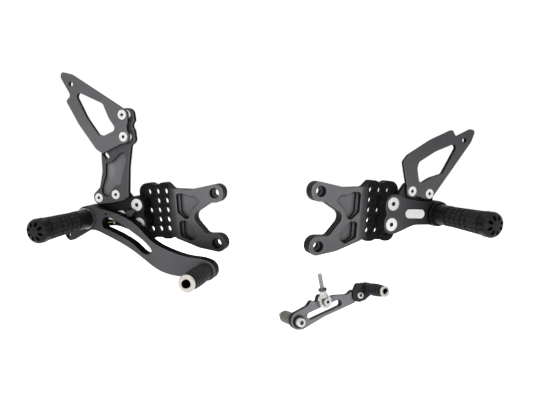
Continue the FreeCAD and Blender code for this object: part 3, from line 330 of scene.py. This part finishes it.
def anodised(name, axis, level, edge=1.5, wall_shade=0.35, rough=0.52, warm=-0.06, shade=None):
    """Bead-blasted and dyed aluminium plate: cloudy dye and fine grain, with painted light and shade: dark milled
    walls, lighter chamfered edges and dark hollows.

    The axis is square to its flat faces. The edge share is a painted highlight on the chamfered edges, and the
    wall_shade is painted shade on the milled walls, both as shares of the faces' own level. The shade paints light
    and shade over the faces, place by place.
    """
    finish = Finish(name, roughness=rough, Specular_IOR_Level=0.06)
    cloud = finish.noise(22, detail=3)
    grain = finish.noise(0.35, detail=1)
    open_air = finish.crevice(5)
    flat = finish.facing(axis)
    # The chamfered edges are drawn lighter: a painted highlight.
    lit_edges = (flat > 0.55) * (flat < 0.85) * (0.5 + cloud)
    # Walls lying side on to the axis are drawn darker: painted shade.
    dye = finish.mix(flat > 0.55, grey(level * wall_shade, warm), grey(level, warm))
    dye = finish.mix(lit_edges.least(1.0), dye, grey(level * edge, warm))
    # The shade function and the crevice term below paint light and shade over the faces and into the hollows.
    tint = (0.88 + 0.24 * cloud) * (0.94 + 0.12 * grain)
    if shade:
        tint = tint * shade(finish)
    finish.colour(finish.mix((open_air ** 1.4) * tint, grey(level * 0.02), dye))
    finish.roughness(rough - 0.05 + 0.10 * cloud + 0.06 * (grain - 0.5))
    finish.bump(grain, 0.02, 0.5)
    return finish


mounts = {mount["name"]: mount for mount in frame["record"]["mounts"]}
OUTWARD = {side: Vector(mounts[side + "_frame_bolt_upper"]["axis"]) for side in ("brake", "shift")}
UPPER_BOLT = {side: mounts[side + "_frame_bolt_upper"]["pos_m"] for side in ("brake", "shift")}
RAMP_FROM_BOLT = 62.5
GRID_SHADE = 0.04
LOW_LUG_SHADE = {"brake": 0.12, "shift": 0.75}


def plate_shade(side):
    """Painted light and shade: darker over the thin hole field, lighter past the ramp and over the thick lugs,
    darker towards the lower lug.
    """
    def shade(finish):
        x, y, z = finish.along(UPPER_BOLT[side], OUTWARD[side])
        past_ramp = x + RAMP_FROM_BOLT if side == "brake" else RAMP_FROM_BOLT - x
        low_share = LOW_LUG_SHADE[side]
        down_to_lug = low_share + (1 - low_share) * y.rise(-68, -12)
        return GRID_SHADE + (1 - GRID_SHADE) * past_ramp.rise(-4, 10) * down_to_lug
    return shade


for side in ("brake", "shift"):
    plate = anodised(side + "_plate_black", OUTWARD[side], 0.16, edge=1.3, wall_shade=0.12, shade=plate_shade(side))
    plate.on(side + "_mounting_plate")


# ---------------------------------------------------------------- peg carriers, their bolts and blank badges
# Thick waisted blocks of the same black aluminium, each held by two countersunk steel screws with a bright
# zinc coat. A small white oval plate is glued on each and left bare.
BOLTS_ASIDE = {"brake": 104, "shift": 92}
PEG_END_SHADE = 0.20


def carrier_shade(side):
    """Painted shade: the block's face darkens from its bolts towards the peg."""
    def shade(finish):
        x, y, z = finish.along(UPPER_BOLT[side], OUTWARD[side])
        from_bolts = -BOLTS_ASIDE[side] - x if side == "brake" else x - BOLTS_ASIDE[side]
        return 1.0 - (1 - PEG_END_SHADE) * from_bolts.rise(8, 50)
    return shade


# The brake carrier is drawn far darker than the shift one: lit and shaded copies of the same black, painted shade.
for side, depth in (("brake", 0.016), ("shift", 0.068)):
    block = anodised(side + "_carrier_black", OUTWARD[side], depth, edge=1.4, wall_shade=0.2,
                     shade=carrier_shade(side))
    block.on(side + "_peg_carrier")


def zinc(name, level=0.86, rough=0.30, reach=3.5, deep=(0.012, 0.050, 0.053, 1), metallic=0.9):
    """Bright zinc plate, faintly cloudy, with its sockets drawn dark in the passivation's tint: painted shade."""
    finish = Finish(name, metallic=metallic, roughness=rough)
    cloud = finish.noise(3, detail=2)
    open_air = finish.crevice(reach).rise(0.52, 0.90)
    coat = finish.mix(cloud, grey(level * 0.88, 0.01), grey(level, -0.005))
    # Where surfaces close in, the coat gives way to the dark socket colour: painted shade.
    finish.colour(finish.mix(open_air, deep, coat))
    finish.roughness(rough - 0.04 + 0.08 * cloud)
    return finish


zinc("zinc_bolts", 0.92, reach=5, metallic=0.35).on("brake_carrier_bolts", "shift_carrier_bolts")
screw_zinc = zinc("zinc_screws", 0.86, reach=3.4, deep=(0.03, 0.04, 0.03, 1), metallic=0.35)
screw_zinc.on("brake_guard_screws", "shift_guard_screws", "bracket_screws")

badge = Finish("badge_white", roughness=0.22, Coat_Weight=0.4, Coat_Roughness=0.08)
badge_cloud = badge.noise(6, detail=2)
badge_white = badge.mix(badge_cloud, grey(0.78), grey(0.84))
# The badge is drawn darker where surfaces close in about it: painted shade.
badge.colour(badge.mix(badge.crevice(1.2) ** 0.8, grey(0.45), badge_white))
badge.roughness(0.18 + 0.08 * badge_cloud)
badge.on("brake_blank_badge", "shift_blank_badge")


# ---------------------------------------------------------------- heel guards, upright bracket and spacers
# Plates of 4.5 and 6 mm aluminium. The guards are plain and flat. The bracket has a milled pocket whose
# floor keeps the faint rings of the cutter, and turned bright spacers hold the guard off it.
TIP_SHADE = {"brake": 0.80, "shift": 0.62}


def guard_shade(side):
    """Painted shade: a little darker towards the tip."""
    def shade(finish):
        place = mounts[side + "_guard_tip_hole"]["pos_m"]
        x, y, z = finish.along(place, OUTWARD[side])
        return 1.0 - (1 - TIP_SHADE[side]) * y.rise(-75, 0)
    return shade


# The two guards are drawn at different levels of the same black: lit and shaded copies, painted light and shade.
for side, depth in (("brake", 0.145), ("shift", 0.112)):
    guard = anodised(side + "_guard_black", OUTWARD[side], depth, edge=1.25, wall_shade=0.05,
                     shade=guard_shade(side))
    guard.on(side + "_heel_guard")

outward = OUTWARD["brake"]
bracket_low, bracket_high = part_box("upright_bracket")
pocket_middle = bracket_low.lerp(bracket_high, 0.37)
FLANGE_LEVEL = 0.085
POCKET_LEVEL = 0.205
POCKET_DEEP = 3.0
CUTTER_STEP = 3.2
RING_SQUEEZE = 3.2
RINGS_R = 30
LIT_SPOT_R = 16
heights = [outward.dot(corner.co) for corner in frame["nodes"]["upright_bracket"].data.vertices]
bracket_face = (max(heights) - outward.dot(pocket_middle)) / MM
bracket = anodised("bracket_black", outward, FLANGE_LEVEL, edge=1.5, wall_shade=0.06)
across, up, out = bracket.along(pocket_middle, outward)
floor_mask = (out < bracket_face - 0.8 * POCKET_DEEP) * (bracket.facing(outward) > 0.9)
rings = (across * across * RING_SQUEEZE + up * up) ** 0.5
swirl = (rings * (2 * math.pi / CUTTER_STEP)).wave() * 0.5 + 0.5
marks = floor_mask * (rings < RINGS_R)
# A lighter round spot in the middle of the pocket floor: a painted pool of light.
lit_spot = 1 - rings.rise(LIT_SPOT_R * 0.4, LIT_SPOT_R)
cut_floor = bracket.mix(lit_spot * 0.7 + marks * swirl * 0.3, grey(POCKET_LEVEL * 0.72, -0.04),
                        grey(POCKET_LEVEL * 1.12, -0.04))
# The pocket floor is drawn near black where surfaces close in: painted shade.
cut_floor = bracket.mix(bracket.crevice(5) ** 1.4, grey(0.004), cut_floor)
bracket.colour(bracket.mix(floor_mask, bracket.base(), cut_floor))
bracket.bump(swirl * marks * 0.25 + bracket.noise(0.35, detail=1), 0.02, 0.6)
bracket.on("upright_bracket")


def turned_metal(name, level, centre, axis, rough=0.26, step=0.25, warm=0.0):
    """Lathe-turned bare aluminium: fine rings on its ends, finer ones along its sides."""
    finish = Finish(name, metallic=1.0, roughness=rough)
    x, y, z = finish.along(centre, axis)
    radius = (x * x + y * y) ** 0.5
    rings = ((radius + z) * (2 * math.pi / step)).wave() * 0.5 + 0.5
    open_air = finish.crevice(3)
    # Hollows within 3 mm are drawn dark: painted shade.
    finish.colour(finish.mix(open_air.rise(0.25, 0.8), grey(level * 0.06, warm), grey(level, warm)))
    finish.roughness(rough + 0.06 * finish.noise(1.5))
    finish.bump(rings, 0.012, 0.6)
    return finish


def middle(name):
    low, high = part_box(name)
    return (low + high) / 2


spacer_bright = turned_metal("spacer_bright", 0.72, middle("guard_spacers"), outward, warm=-0.02)
spacer_bright.on("bracket_spacers", "guard_spacers")


# ---------------------------------------------------------------- foot pegs, end caps and what holds them
# Turned from black aluminium bar: a smooth collar, then a knurled grip cut by ring grooves and flutes.
# The end cap is domed, with oval pockets and a notched rim, and is screwed on to a stud in the grip.
PEG_START = {"brake": middle("pedal_outer_washer"), "shift": middle("shift_peg_flange")}
KNURLS_ROUND = 64
KNURL_SLOPE = 2.6
KNURL_FROM, KNURL_TO = 22.5, 72


def knurl(finish, x, y, z, count, slope):
    """Crossed helical grooves round an axis: 1 on each diamond, 0 in the grooves."""
    angle = y.angle_from(x) * count
    left = (angle + z * slope).wave() * 0.5 + 0.5
    right = (angle - z * slope).wave() * 0.5 + 0.5
    return left.least(right)


for side in ("brake", "shift"):
    grip = Finish(side + "_grip_black", roughness=0.42, Specular_IOR_Level=0.12)
    x, y, z = grip.along(PEG_START[side], OUTWARD[side])
    diamonds = knurl(grip, x, y, z, KNURLS_ROUND, KNURL_SLOPE)
    on_grip = (z > KNURL_FROM) * (z < KNURL_TO)
    cloud = grip.noise(5, detail=3)
    open_air = grip.crevice(3)
    dye = grip.mix(cloud, grey(0.006, -0.02), grey(0.012, -0.02))
    # The knurl's diamonds are drawn lighter: a painted highlight along the ridges.
    lit_ridges = grip.mix((diamonds * on_grip * 1.6 * cloud).least(1.0), dye, grey(0.085, -0.01))
    # The grooves and hollows are drawn near black: painted shade.
    grip.colour(grip.mix(open_air ** 1.5, grey(0.001), lit_ridges))
    grip.roughness(0.36 + 0.16 * on_grip + 0.08 * cloud)
    grip.bump(diamonds * on_grip + (z * 9).wave() * 0.03, 0.16, 0.8)
    grip.on(side + "_foot_peg")

cap_black = Finish("cap_black", roughness=0.30, Specular_IOR_Level=0.14)
cap_cloud = cap_black.noise(6, detail=2)
# Pockets and notches are drawn near black: painted shade.
cap_black.colour(cap_black.mix(cap_black.crevice(3.5) ** 1.8, grey(0.001),
                               cap_black.mix(cap_cloud, grey(0.009), grey(0.016))))
cap_black.roughness(0.24 + 0.08 * cap_cloud)
cap_black.bump(cap_black.noise(0.3, detail=1), 0.012, 0.5)
cap_black.on("brake_peg_end_cap", "shift_peg_end_cap")

anodised("flange_black", OUTWARD["shift"], 0.020, rough=0.40).on("shift_peg_flange")


def oxide(name, level=0.05, rough=0.36):
    """Blackened steel: oily dark with a dull metal sheen."""
    finish = Finish(name, metallic=0.7, roughness=rough)
    cloud = finish.noise(2.5, detail=3)
    # Hollows are drawn darker: painted shade.
    finish.colour(finish.mix(finish.crevice(2.5), grey(level * 0.15),
                             finish.mix(cloud, grey(level * 0.7, -0.04), grey(level * 1.4, -0.04))))
    finish.roughness(rough + 0.12 * (cloud - 0.5))
    return finish


for side in ("brake", "shift"):
    held = oxide(side + "_black_oxide", 0.045)
    held.on(side + "_peg_bolt", side + "_peg_set_screw", side + "_peg_cap_stud")


# ---------------------------------------------------------------- brake pedal, its pivot and return spring
# Milled arm with an arched top and a long curved slot. Bronze bushes turn on a hardened sleeve, a bright
# washer keeps the peg off the hub, and the yellow-passivated spring lies in the carrier behind.
joints = {joint["name"]: joint for joint in frame["joints"]}
pivot_place = joints["pedal_pivot"]["pos_m"]
HUB_SHADE = 0.45


def pedal_shade(finish):
    """Painted shade: the arm is drawn darker about its hub."""
    x, y, z = finish.along(pivot_place, outward)
    return HUB_SHADE + (1 - HUB_SHADE) * x.rise(12, 110)


pedal = anodised("pedal_black", outward, 0.108, edge=1.3, wall_shade=0.03, rough=0.46, shade=pedal_shade)
pedal.on("brake_pedal")
turned_metal("pivot_zinc", 0.75, PEG_START["brake"], outward).on("pedal_outer_washer", "pedal_pivot_sleeve")
oxide("stop_screw_black", 0.06, 0.40).on("pedal_stop_screw")
zinc("pin_zinc").on("spring_pin")

bronze = Finish("oiled_bronze", metallic=1.0, roughness=0.38)
bronze_cloud = bronze.noise(3, detail=3)
bronze.colour(bronze.mix(bronze_cloud, (0.42, 0.24, 0.08, 1), (0.62, 0.42, 0.18, 1)))
bronze.roughness(0.30 + 0.16 * bronze_cloud)
bronze.on("pedal_bushes")

wire = Finish("spring_wire_gold", metallic=0.9, roughness=0.34)
wire_cloud = wire.noise(4, detail=2)
wire.colour(wire.mix(wire_cloud, (0.55, 0.36, 0.13, 1), (0.80, 0.60, 0.30, 1)))
wire.roughness(0.28 + 0.12 * wire_cloud)


def standing(centre, axis):
    """Matrix that puts a piece's own origin at the centre and its z along the axis."""
    return Matrix.Translation(centre) @ Vector(axis).to_track_quat("Z", "Y").to_matrix().to_4x4()


# The spring's leg is attached with the set and lies on the carrier; its coil and hook are drawn as a piece of
# their own. It is drawn in a frame with z along the pivot, where the coil starts straight down and the leg runs
# off along x.
COIL_R, WIRE_R, TURNS, PITCH = 12.4, 0.8, 2.25, 1.75
LEG_LEVEL, LEG_CLIMB, LEG_LONG = 6.63, 13.13, 33.0
HOOK_R = 14.6
RISE_TO_FACE = 5.82
STEPS_A_TURN = 32
upright = standing(pivot_place, outward)
laid = [upright.inverted() @ corner.co / MM for corner in frame["nodes"]["pedal_return_spring"].data.vertices]
leg_tip = max(laid, key=lambda corner: corner.xy.length)
low = min(corner.z for corner in laid) + WIRE_R
over = low + RISE_TO_FACE
turn = math.atan2(leg_tip.y, leg_tip.x) - math.atan2(-(COIL_R + WIRE_R), LEG_LONG)
spring_place = upright @ Matrix.Rotation(turn, 4, "Z")


def bent_wire(name, points):
    """Round wire bent through points in the spring's frame, in mm."""
    path = bpy.data.curves.new(name + "_path", "CURVE")
    path.dimensions = "3D"
    path.bevel_depth = WIRE_R * MM
    path.bevel_resolution = 4
    path.use_fill_caps = True
    line = path.splines.new("POLY")
    line.points.add(len(points) - 1)
    for point, place in zip(line.points, points):
        point.co = (*(spring_place @ (Vector(place) * MM)), 1)
    mesh = bpy.data.meshes.new_from_object(bpy.data.objects.new(name + "_path", path))
    mesh.name = name
    made = bpy.data.objects.new(name, mesh)
    mesh.materials.clear()
    mesh.materials.append(wire.material)
    scene.collection.objects.link(made)
    return made


count = round(STEPS_A_TURN * TURNS)
angles = [-math.pi / 2 - 2 * math.pi * TURNS * i / count for i in range(count + 1)]
winding = [(COIL_R * math.cos(angle), COIL_R * math.sin(angle), low + TURNS * PITCH * i / count)
           for i, angle in enumerate(angles)]
hook_top = max(corner.z for corner in laid)
hook = [(-COIL_R, 0, over), (-HOOK_R, 0, over), (-HOOK_R, 0, hook_top)]
coil = bent_wire("return_spring_coil", winding + hook)
spring_place @ Vector((0, 0, low * MM))
spring_place @ Vector((0, 0, (low + TURNS * PITCH) * MM))
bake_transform(coil)
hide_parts("pedal_return_spring")
leg = bent_wire("return_spring_leg", [
    (0, -COIL_R, low), (LEG_LEVEL, -COIL_R, low), (LEG_CLIMB, -COIL_R, over), (LEG_LONG, -COIL_R, over)])
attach(leg, "set")


# ---------------------------------------------------------------- brake toe peg
# A ribbed black sleeve pressed over a bright turned core whose open end shows as a ring.
def ribbed_black(name):
    finish = Finish(name, roughness=0.40, Specular_IOR_Level=0.14)
    cloud = finish.noise(4, detail=2)
    dye = finish.mix(cloud, grey(0.014), grey(0.026))
    # The grooves between the ribs are drawn near black: painted shade.
    finish.colour(finish.mix(finish.crevice(2.2) ** 1.6, grey(0.001), dye))
    finish.roughness(0.34 + 0.14 * cloud)
    finish.bump(finish.noise(0.3, detail=1), 0.015, 0.6)
    return finish


ribbed_black("toe_ribs_black").on("brake_toe_sleeve", "shift_toe_sleeve")
CORE_BORE = {"brake": 4.9, "shift": 3.3}


def open_core(name, centre, axis, bore):
    """Bright turned core, with painted shade down in its bore."""
    core = turned_metal(name, 0.52, centre, axis, rough=0.34, warm=0.06)
    x, y, z = core.along(centre, axis)
    core.colour(core.mix((x * x + y * y) ** 0.5 > bore, grey(0.006), core.base()))
    return core


open_core("brake_toe_bright", middle("brake_toe_core"), outward, CORE_BORE["brake"]).on("brake_toe_core")
oxide("toe_bolt_black").on("brake_toe_bolt", "shift_toe_stud")


# ---------------------------------------------------------------- shift lever arm and its pivot
# Slotted arm of black aluminium on a bright shouldered bolt. A dark knurled spacer stands behind it, and
# the bolt's threaded end sticks out past the spacer.
lever_out = Vector(joints["lever_pivot"]["axis"])
lever_hub = Vector(joints["lever_pivot"]["pos_m"])
# The arm is drawn far lighter than the other black parts: painted light, since its face tilts up towards the
# light.
anodised("lever_black", lever_out, 0.24, edge=1.3, wall_shade=0.02, rough=0.44).on("lever_arm")
oxide("bush_dark", 0.07, 0.34).on("lever_bushes")

ARM_THICK = 10.0
COLLAR_GAP = 0.9
SPACER_KNURLS = 44
SPACER_KNURL_SLOPE = 2.2
SPACER_KNURL_FROM, SPACER_KNURL_TO = -42, -16

spacer = Finish("spacer_olive", metallic=0.6, roughness=0.42)
x, y, z = spacer.along(lever_hub, lever_out)
diamonds = knurl(spacer, x, y, z, SPACER_KNURLS, SPACER_KNURL_SLOPE)
on_body = (z < SPACER_KNURL_TO) * (z > SPACER_KNURL_FROM)
cloud = spacer.noise(4, detail=3)
tone = spacer.mix(cloud, (0.035, 0.032, 0.023, 1), (0.075, 0.069, 0.050, 1))
spacer.colour(spacer.mix(diamonds * on_body, tone, (0.19, 0.178, 0.135, 1)))
spacer.roughness(0.36 + 0.12 * cloud)
spacer.bump(diamonds * on_body, 0.18, 0.8)
spacer.on("lever_pivot_spacer")

oxide("washer_black", 0.03).on("lever_pivot_washer")


def rings_to_object(name, rings, segments, place):
    """Body bridged through rings: a radius and a height each, in mm, as numbers or functions of the angle."""
    shape = bmesh.new()
    loops = []
    for radius, height in rings:
        circle = bmesh.ops.create_circle(shape, segments=segments, radius=1.0)["verts"]
        for vertex in circle:
            angle = math.atan2(vertex.co.y, vertex.co.x)
            reach = radius(angle) if callable(radius) else radius
            rise = height(angle) if callable(height) else height
            vertex.co = Vector((vertex.co.x * reach, vertex.co.y * reach, rise)) * MM
        loops.append({edge for vertex in circle for edge in vertex.link_edges})
    for below, above in zip(loops, loops[1:]):
        bmesh.ops.bridge_loops(shape, edges=list(below | above))
    for loop in (loops[0], loops[-1]):
        bmesh.ops.edgeloop_fill(shape, edges=list(loop))
    bmesh.ops.recalc_face_normals(shape, faces=shape.faces)
    bmesh.ops.transform(shape, matrix=place, verts=shape.verts)
    return to_object(name, shape)


def to_object(name, shape, soft_angle=35):
    mesh = bpy.data.meshes.new(name)
    for face in shape.faces:
        face.smooth = True
    for edge in shape.edges:
        edge.smooth = len(edge.link_faces) == 2 and edge.calc_face_angle(0) < math.radians(soft_angle)
    shape.to_mesh(mesh)
    shape.free()
    made = bpy.data.objects.new(name, mesh)
    scene.collection.objects.link(made)
    return made


def hexagon(flats, play=0.0):
    """Radius of a hexagon across flats, as a function of the angle."""
    def reach(angle):
        return (flats / 2 + play) / math.cos((angle % (math.pi / 3)) - math.pi / 6)
    return reach


def add_piece(made, finish, body, slot, *replaced):
    made.data.materials.append(finish.material)
    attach(made, body)
    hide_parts(*replaced)
    return made


def thread(name, radius, depth, pitch, length, place, taper=0.8, steps=24):
    """Screw thread as one skin: a one-pitch profile spun up its own helix, cut square at both ends."""
    shape = bmesh.new()
    root = radius - depth
    profile = [(root, 0), (root, 0.15), (radius, 0.45), (radius, 0.60), (root, 0.90), (root, 1.0)]
    corners = [shape.verts.new((reach * MM, 0, (share - 1) * pitch * MM)) for reach, share in profile]
    edges = [shape.edges.new(pair) for pair in zip(corners, corners[1:])]
    turns = math.ceil(length / pitch) + 2
    bmesh.ops.spin(shape, geom=corners + edges, cent=(0, 0, 0), axis=(0, 0, 1),
                   dvec=(0, 0, pitch * MM / steps), angle=2 * math.pi * turns, steps=steps * turns)
    bmesh.ops.remove_doubles(shape, verts=shape.verts, dist=0.01 * MM)
    for height, side in ((0.0, -1), (length * MM, 1)):
        cut = bmesh.ops.bisect_plane(shape, geom=shape.verts[:] + shape.edges[:] + shape.faces[:],
                                     plane_co=(0, 0, height), plane_no=(0, 0, side), clear_outer=True)
        rim = [part for part in cut["geom_cut"] if isinstance(part, bmesh.types.BMEdge)]
        bmesh.ops.holes_fill(shape, edges=rim, sides=0)
    for vertex in shape.verts:
        past = (vertex.co.z / MM - (length - taper)) / taper
        if past > 0:
            limit = (radius - depth * past) * MM
            flat = vertex.co.xy.length
            if flat > limit:
                vertex.co.xy *= limit / flat
    bmesh.ops.recalc_face_normals(shape, faces=shape.faces)
    bmesh.ops.transform(shape, matrix=place, verts=shape.verts)
    return to_object(name, shape, soft_angle=50)


# The bolt: a wide low head with a hexagon socket, a plain shank, and a thread of its own
BOLT_HEAD_R = 5.8
BOLT_HEAD_TALL = 8.0
BOLT_SEAT = COLLAR_GAP + 1.5
BOLT_R = 4.0
SPACER_END = -(ARM_THICK + COLLAR_GAP + 34.0)
BOLT_THREAD = 14.8
lever_place = standing(lever_hub, lever_out)
head_top = BOLT_SEAT + BOLT_HEAD_TALL
bolt = rings_to_object("lever_pivot_bolt_detail", [
    (BOLT_R - 0.1, SPACER_END - 0.2), (BOLT_R, SPACER_END + 0.5),
    (BOLT_R, BOLT_SEAT), (BOLT_HEAD_R - 0.2, BOLT_SEAT),
    (BOLT_HEAD_R, BOLT_SEAT + 0.2), (BOLT_HEAD_R, head_top - 0.9), (BOLT_HEAD_R - 0.25, head_top - 0.35),
    (BOLT_HEAD_R - 0.9, head_top), (hexagon(5.5, 0.3), head_top), (hexagon(5.5), head_top - 0.3),
    (hexagon(5.5), head_top - 4.0)], 48, lever_place)
bolt_finish = zinc("pivot_bolt_zinc", 0.74, 0.28, deep=(0.02, 0.04, 0.075, 1), metallic=0.5)
add_piece(bolt, bolt_finish, "set", "zinc_steel", "lever_pivot_bolt")

end_place = lever_place @ Matrix.Translation((0, 0, SPACER_END * MM)) @ Matrix.Rotation(math.pi, 4, "X")
end_thread = thread("lever_pivot_thread", BOLT_R, 0.6, 1.25, BOLT_THREAD, end_place)
brassy = zinc("pivot_thread_yellow", 0.62, 0.30)
# The thread's roots are drawn dark: painted shade.
brassy_tone = brassy.mix(brassy.crevice(1.0), (0.10, 0.085, 0.05, 1), (0.62, 0.56, 0.42, 1))
brassy.colour(brassy_tone)
add_piece(end_thread, brassy, "set", "zinc_steel")


# ---------------------------------------------------------------- rod end, lock nut and link rod
# A bright ball-joint eye bolted on the arm by a knurled cap screw, with a brass grease nipple at its
# shoulder. The grey threaded rod screws into its neck and a dark thin nut locks it.
ball_centre = Vector(joints["rod_end_swivel"]["pos_m"])
BALL_HALF = 4.5
eye_finish = Finish("rod_end_bright", metallic=0.8, roughness=0.24)
eye_cloud = eye_finish.noise(5, detail=2)
eye_tone = eye_finish.mix(eye_cloud, grey(0.55, 0.01), grey(0.74, 0.0))
# Hollows about the ball are drawn dark brown: painted shade and reflection.
eye_finish.colour(eye_finish.mix(eye_finish.crevice(2.5) ** 0.8, (0.16, 0.09, 0.035, 1), eye_tone))
eye_finish.roughness(0.16 + 0.12 * eye_cloud)
eye_finish.on("rod_end_eye")

ball_finish = Finish("ball_hardened", metallic=1.0, roughness=0.12)
ball_finish.colour(ball_finish.mix(ball_finish.noise(3), (0.07, 0.035, 0.014, 1), (0.17, 0.095, 0.045, 1)))
ball_finish.on("rod_end_ball")
zinc("rod_washer_zinc").on("rod_end_washer")

HEAD_R = 4.9
HEAD_TALL = 5.0
RIDGES = 24
seat = BALL_HALF
top = seat + HEAD_TALL


def ridged(angle):
    return HEAD_R - 0.16 + 0.16 * math.cos(RIDGES * angle)


cap_screw = rings_to_object("rod_end_bolt_detail", [
    (3.0, -BALL_HALF - 11.0), (3.0, seat), (HEAD_R - 0.3, seat), (ridged, seat + 0.3), (ridged, top - 1.1),
    (HEAD_R - 0.15, top - 0.9), (HEAD_R - 0.15, top - 0.5), (HEAD_R - 0.6, top), (hexagon(4.0, 0.25), top),
    (hexagon(4.0), top - 0.25), (hexagon(4.0), top - 3.0)], 96, standing(ball_centre, lever_out))
cap_zinc = zinc("cap_screw_zinc", 0.74, 0.26, deep=(0.02, 0.03, 0.04, 1), metallic=0.5)
add_piece(cap_screw, cap_zinc, "lever", "zinc_steel", "rod_end_bolt")

rod_direction = Vector(mounts["link_rod_thread"]["axis"])
ROD_R = 3.0
ROD_START = 9.5
NUT_START = 14.0
NUT_THICK = 4.0
NUT_FLATS = 10.0
ROD_TIP = 38.0
rod_place = standing(ball_centre, rod_direction)
rod_detail = thread("link_rod_detail", ROD_R, 0.5, 1.0, ROD_TIP - ROD_START,
                    rod_place @ Matrix.Translation((0, 0, ROD_START * MM)))
galvanised = Finish("galvanised_grey", metallic=0.55, roughness=0.48)
spangle = galvanised.noise(1.2, detail=3)
zinc_tone = galvanised.mix(spangle, (0.40, 0.43, 0.42, 1), (0.64, 0.68, 0.66, 1))
# The thread's roots are drawn dark: painted shade.
galvanised.colour(galvanised.mix(galvanised.crevice(0.9), (0.12, 0.13, 0.13, 1), zinc_tone))
galvanised.roughness(0.40 + 0.16 * spangle)
add_piece(rod_detail, galvanised, "link", "galvanised", "link_rod")

nut_corner = hexagon(NUT_FLATS)
nut_face = NUT_FLATS / 2 * 0.97
SLOPE = math.tan(math.radians(30))


def nut_high(angle):
    return NUT_START + NUT_THICK - (nut_corner(angle) - nut_face) * SLOPE


def nut_low(angle):
    return NUT_START + (nut_corner(angle) - nut_face) * SLOPE


nut = rings_to_object("lock_nut_detail", [
    (ROD_R + 0.5, NUT_START), (nut_face, NUT_START), (nut_corner, nut_low), (nut_corner, nut_high),
    (nut_face, NUT_START + NUT_THICK), (ROD_R + 0.5, NUT_START + NUT_THICK)], 48, rod_place)
add_piece(nut, oxide("nut_dark", 0.06, 0.28), "link", "dark_steel", "lock_nut")

nipple_middle = middle("grease_nipple")
nipple_direction = nipple_middle - ball_centre
nipple_direction -= lever_out * nipple_direction.dot(lever_out)
nipple = rings_to_object("grease_nipple_detail", [
    (1.2, -1.7), (1.2, -0.2), (0.75, 0.1), (0.75, 0.5), (1.05, 0.9), (1.0, 1.3), (0.55, 1.65), (0.25, 1.7)],
    20, standing(nipple_middle, nipple_direction.normalized()))
brass = Finish("nipple_brass", metallic=1.0, roughness=0.25)
brass.colour(brass.mix(brass.noise(1.0), (0.60, 0.38, 0.12, 1), (0.85, 0.62, 0.28, 1)))
add_piece(nipple, brass, "link", "bronze", "grease_nipple")


# ---------------------------------------------------------------- toe elbow and shift toe peg
# A short black crank set round a bright cap screw, carrying a slim ribbed toe peg with a bright open end.
anodised("elbow_black", lever_out, 0.045, rough=0.40).on("toe_elbow")
ELBOW_FACE = 4.0
ELBOW_HEAD_R = 4.5
ELBOW_HEAD_TALL = 4.0
elbow_centre = Vector(joints["toe_elbow_set"]["pos_m"])
head = ELBOW_FACE + ELBOW_HEAD_TALL
elbow_screw = rings_to_object("elbow_screw_detail", [
    (2.5, -9.5), (2.5, ELBOW_FACE), (ELBOW_HEAD_R - 0.2, ELBOW_FACE), (ELBOW_HEAD_R, ELBOW_FACE + 0.2),
    (ELBOW_HEAD_R, head - 0.7), (ELBOW_HEAD_R - 0.2, head - 0.25), (ELBOW_HEAD_R - 0.7, head),
    (hexagon(4.0, 0.25), head), (hexagon(4.0), head - 0.25), (hexagon(4.0), head - 2.5)],
    48, standing(elbow_centre, lever_out))
elbow_zinc = zinc("elbow_screw_zinc", 0.74, 0.26, deep=(0.02, 0.03, 0.04, 1), metallic=0.5)
add_piece(elbow_screw, elbow_zinc, "lever", "zinc_steel", "elbow_screw")
open_core("shift_toe_bright", middle("shift_toe_core"), lever_out, CORE_BORE["shift"]).on("shift_toe_core")
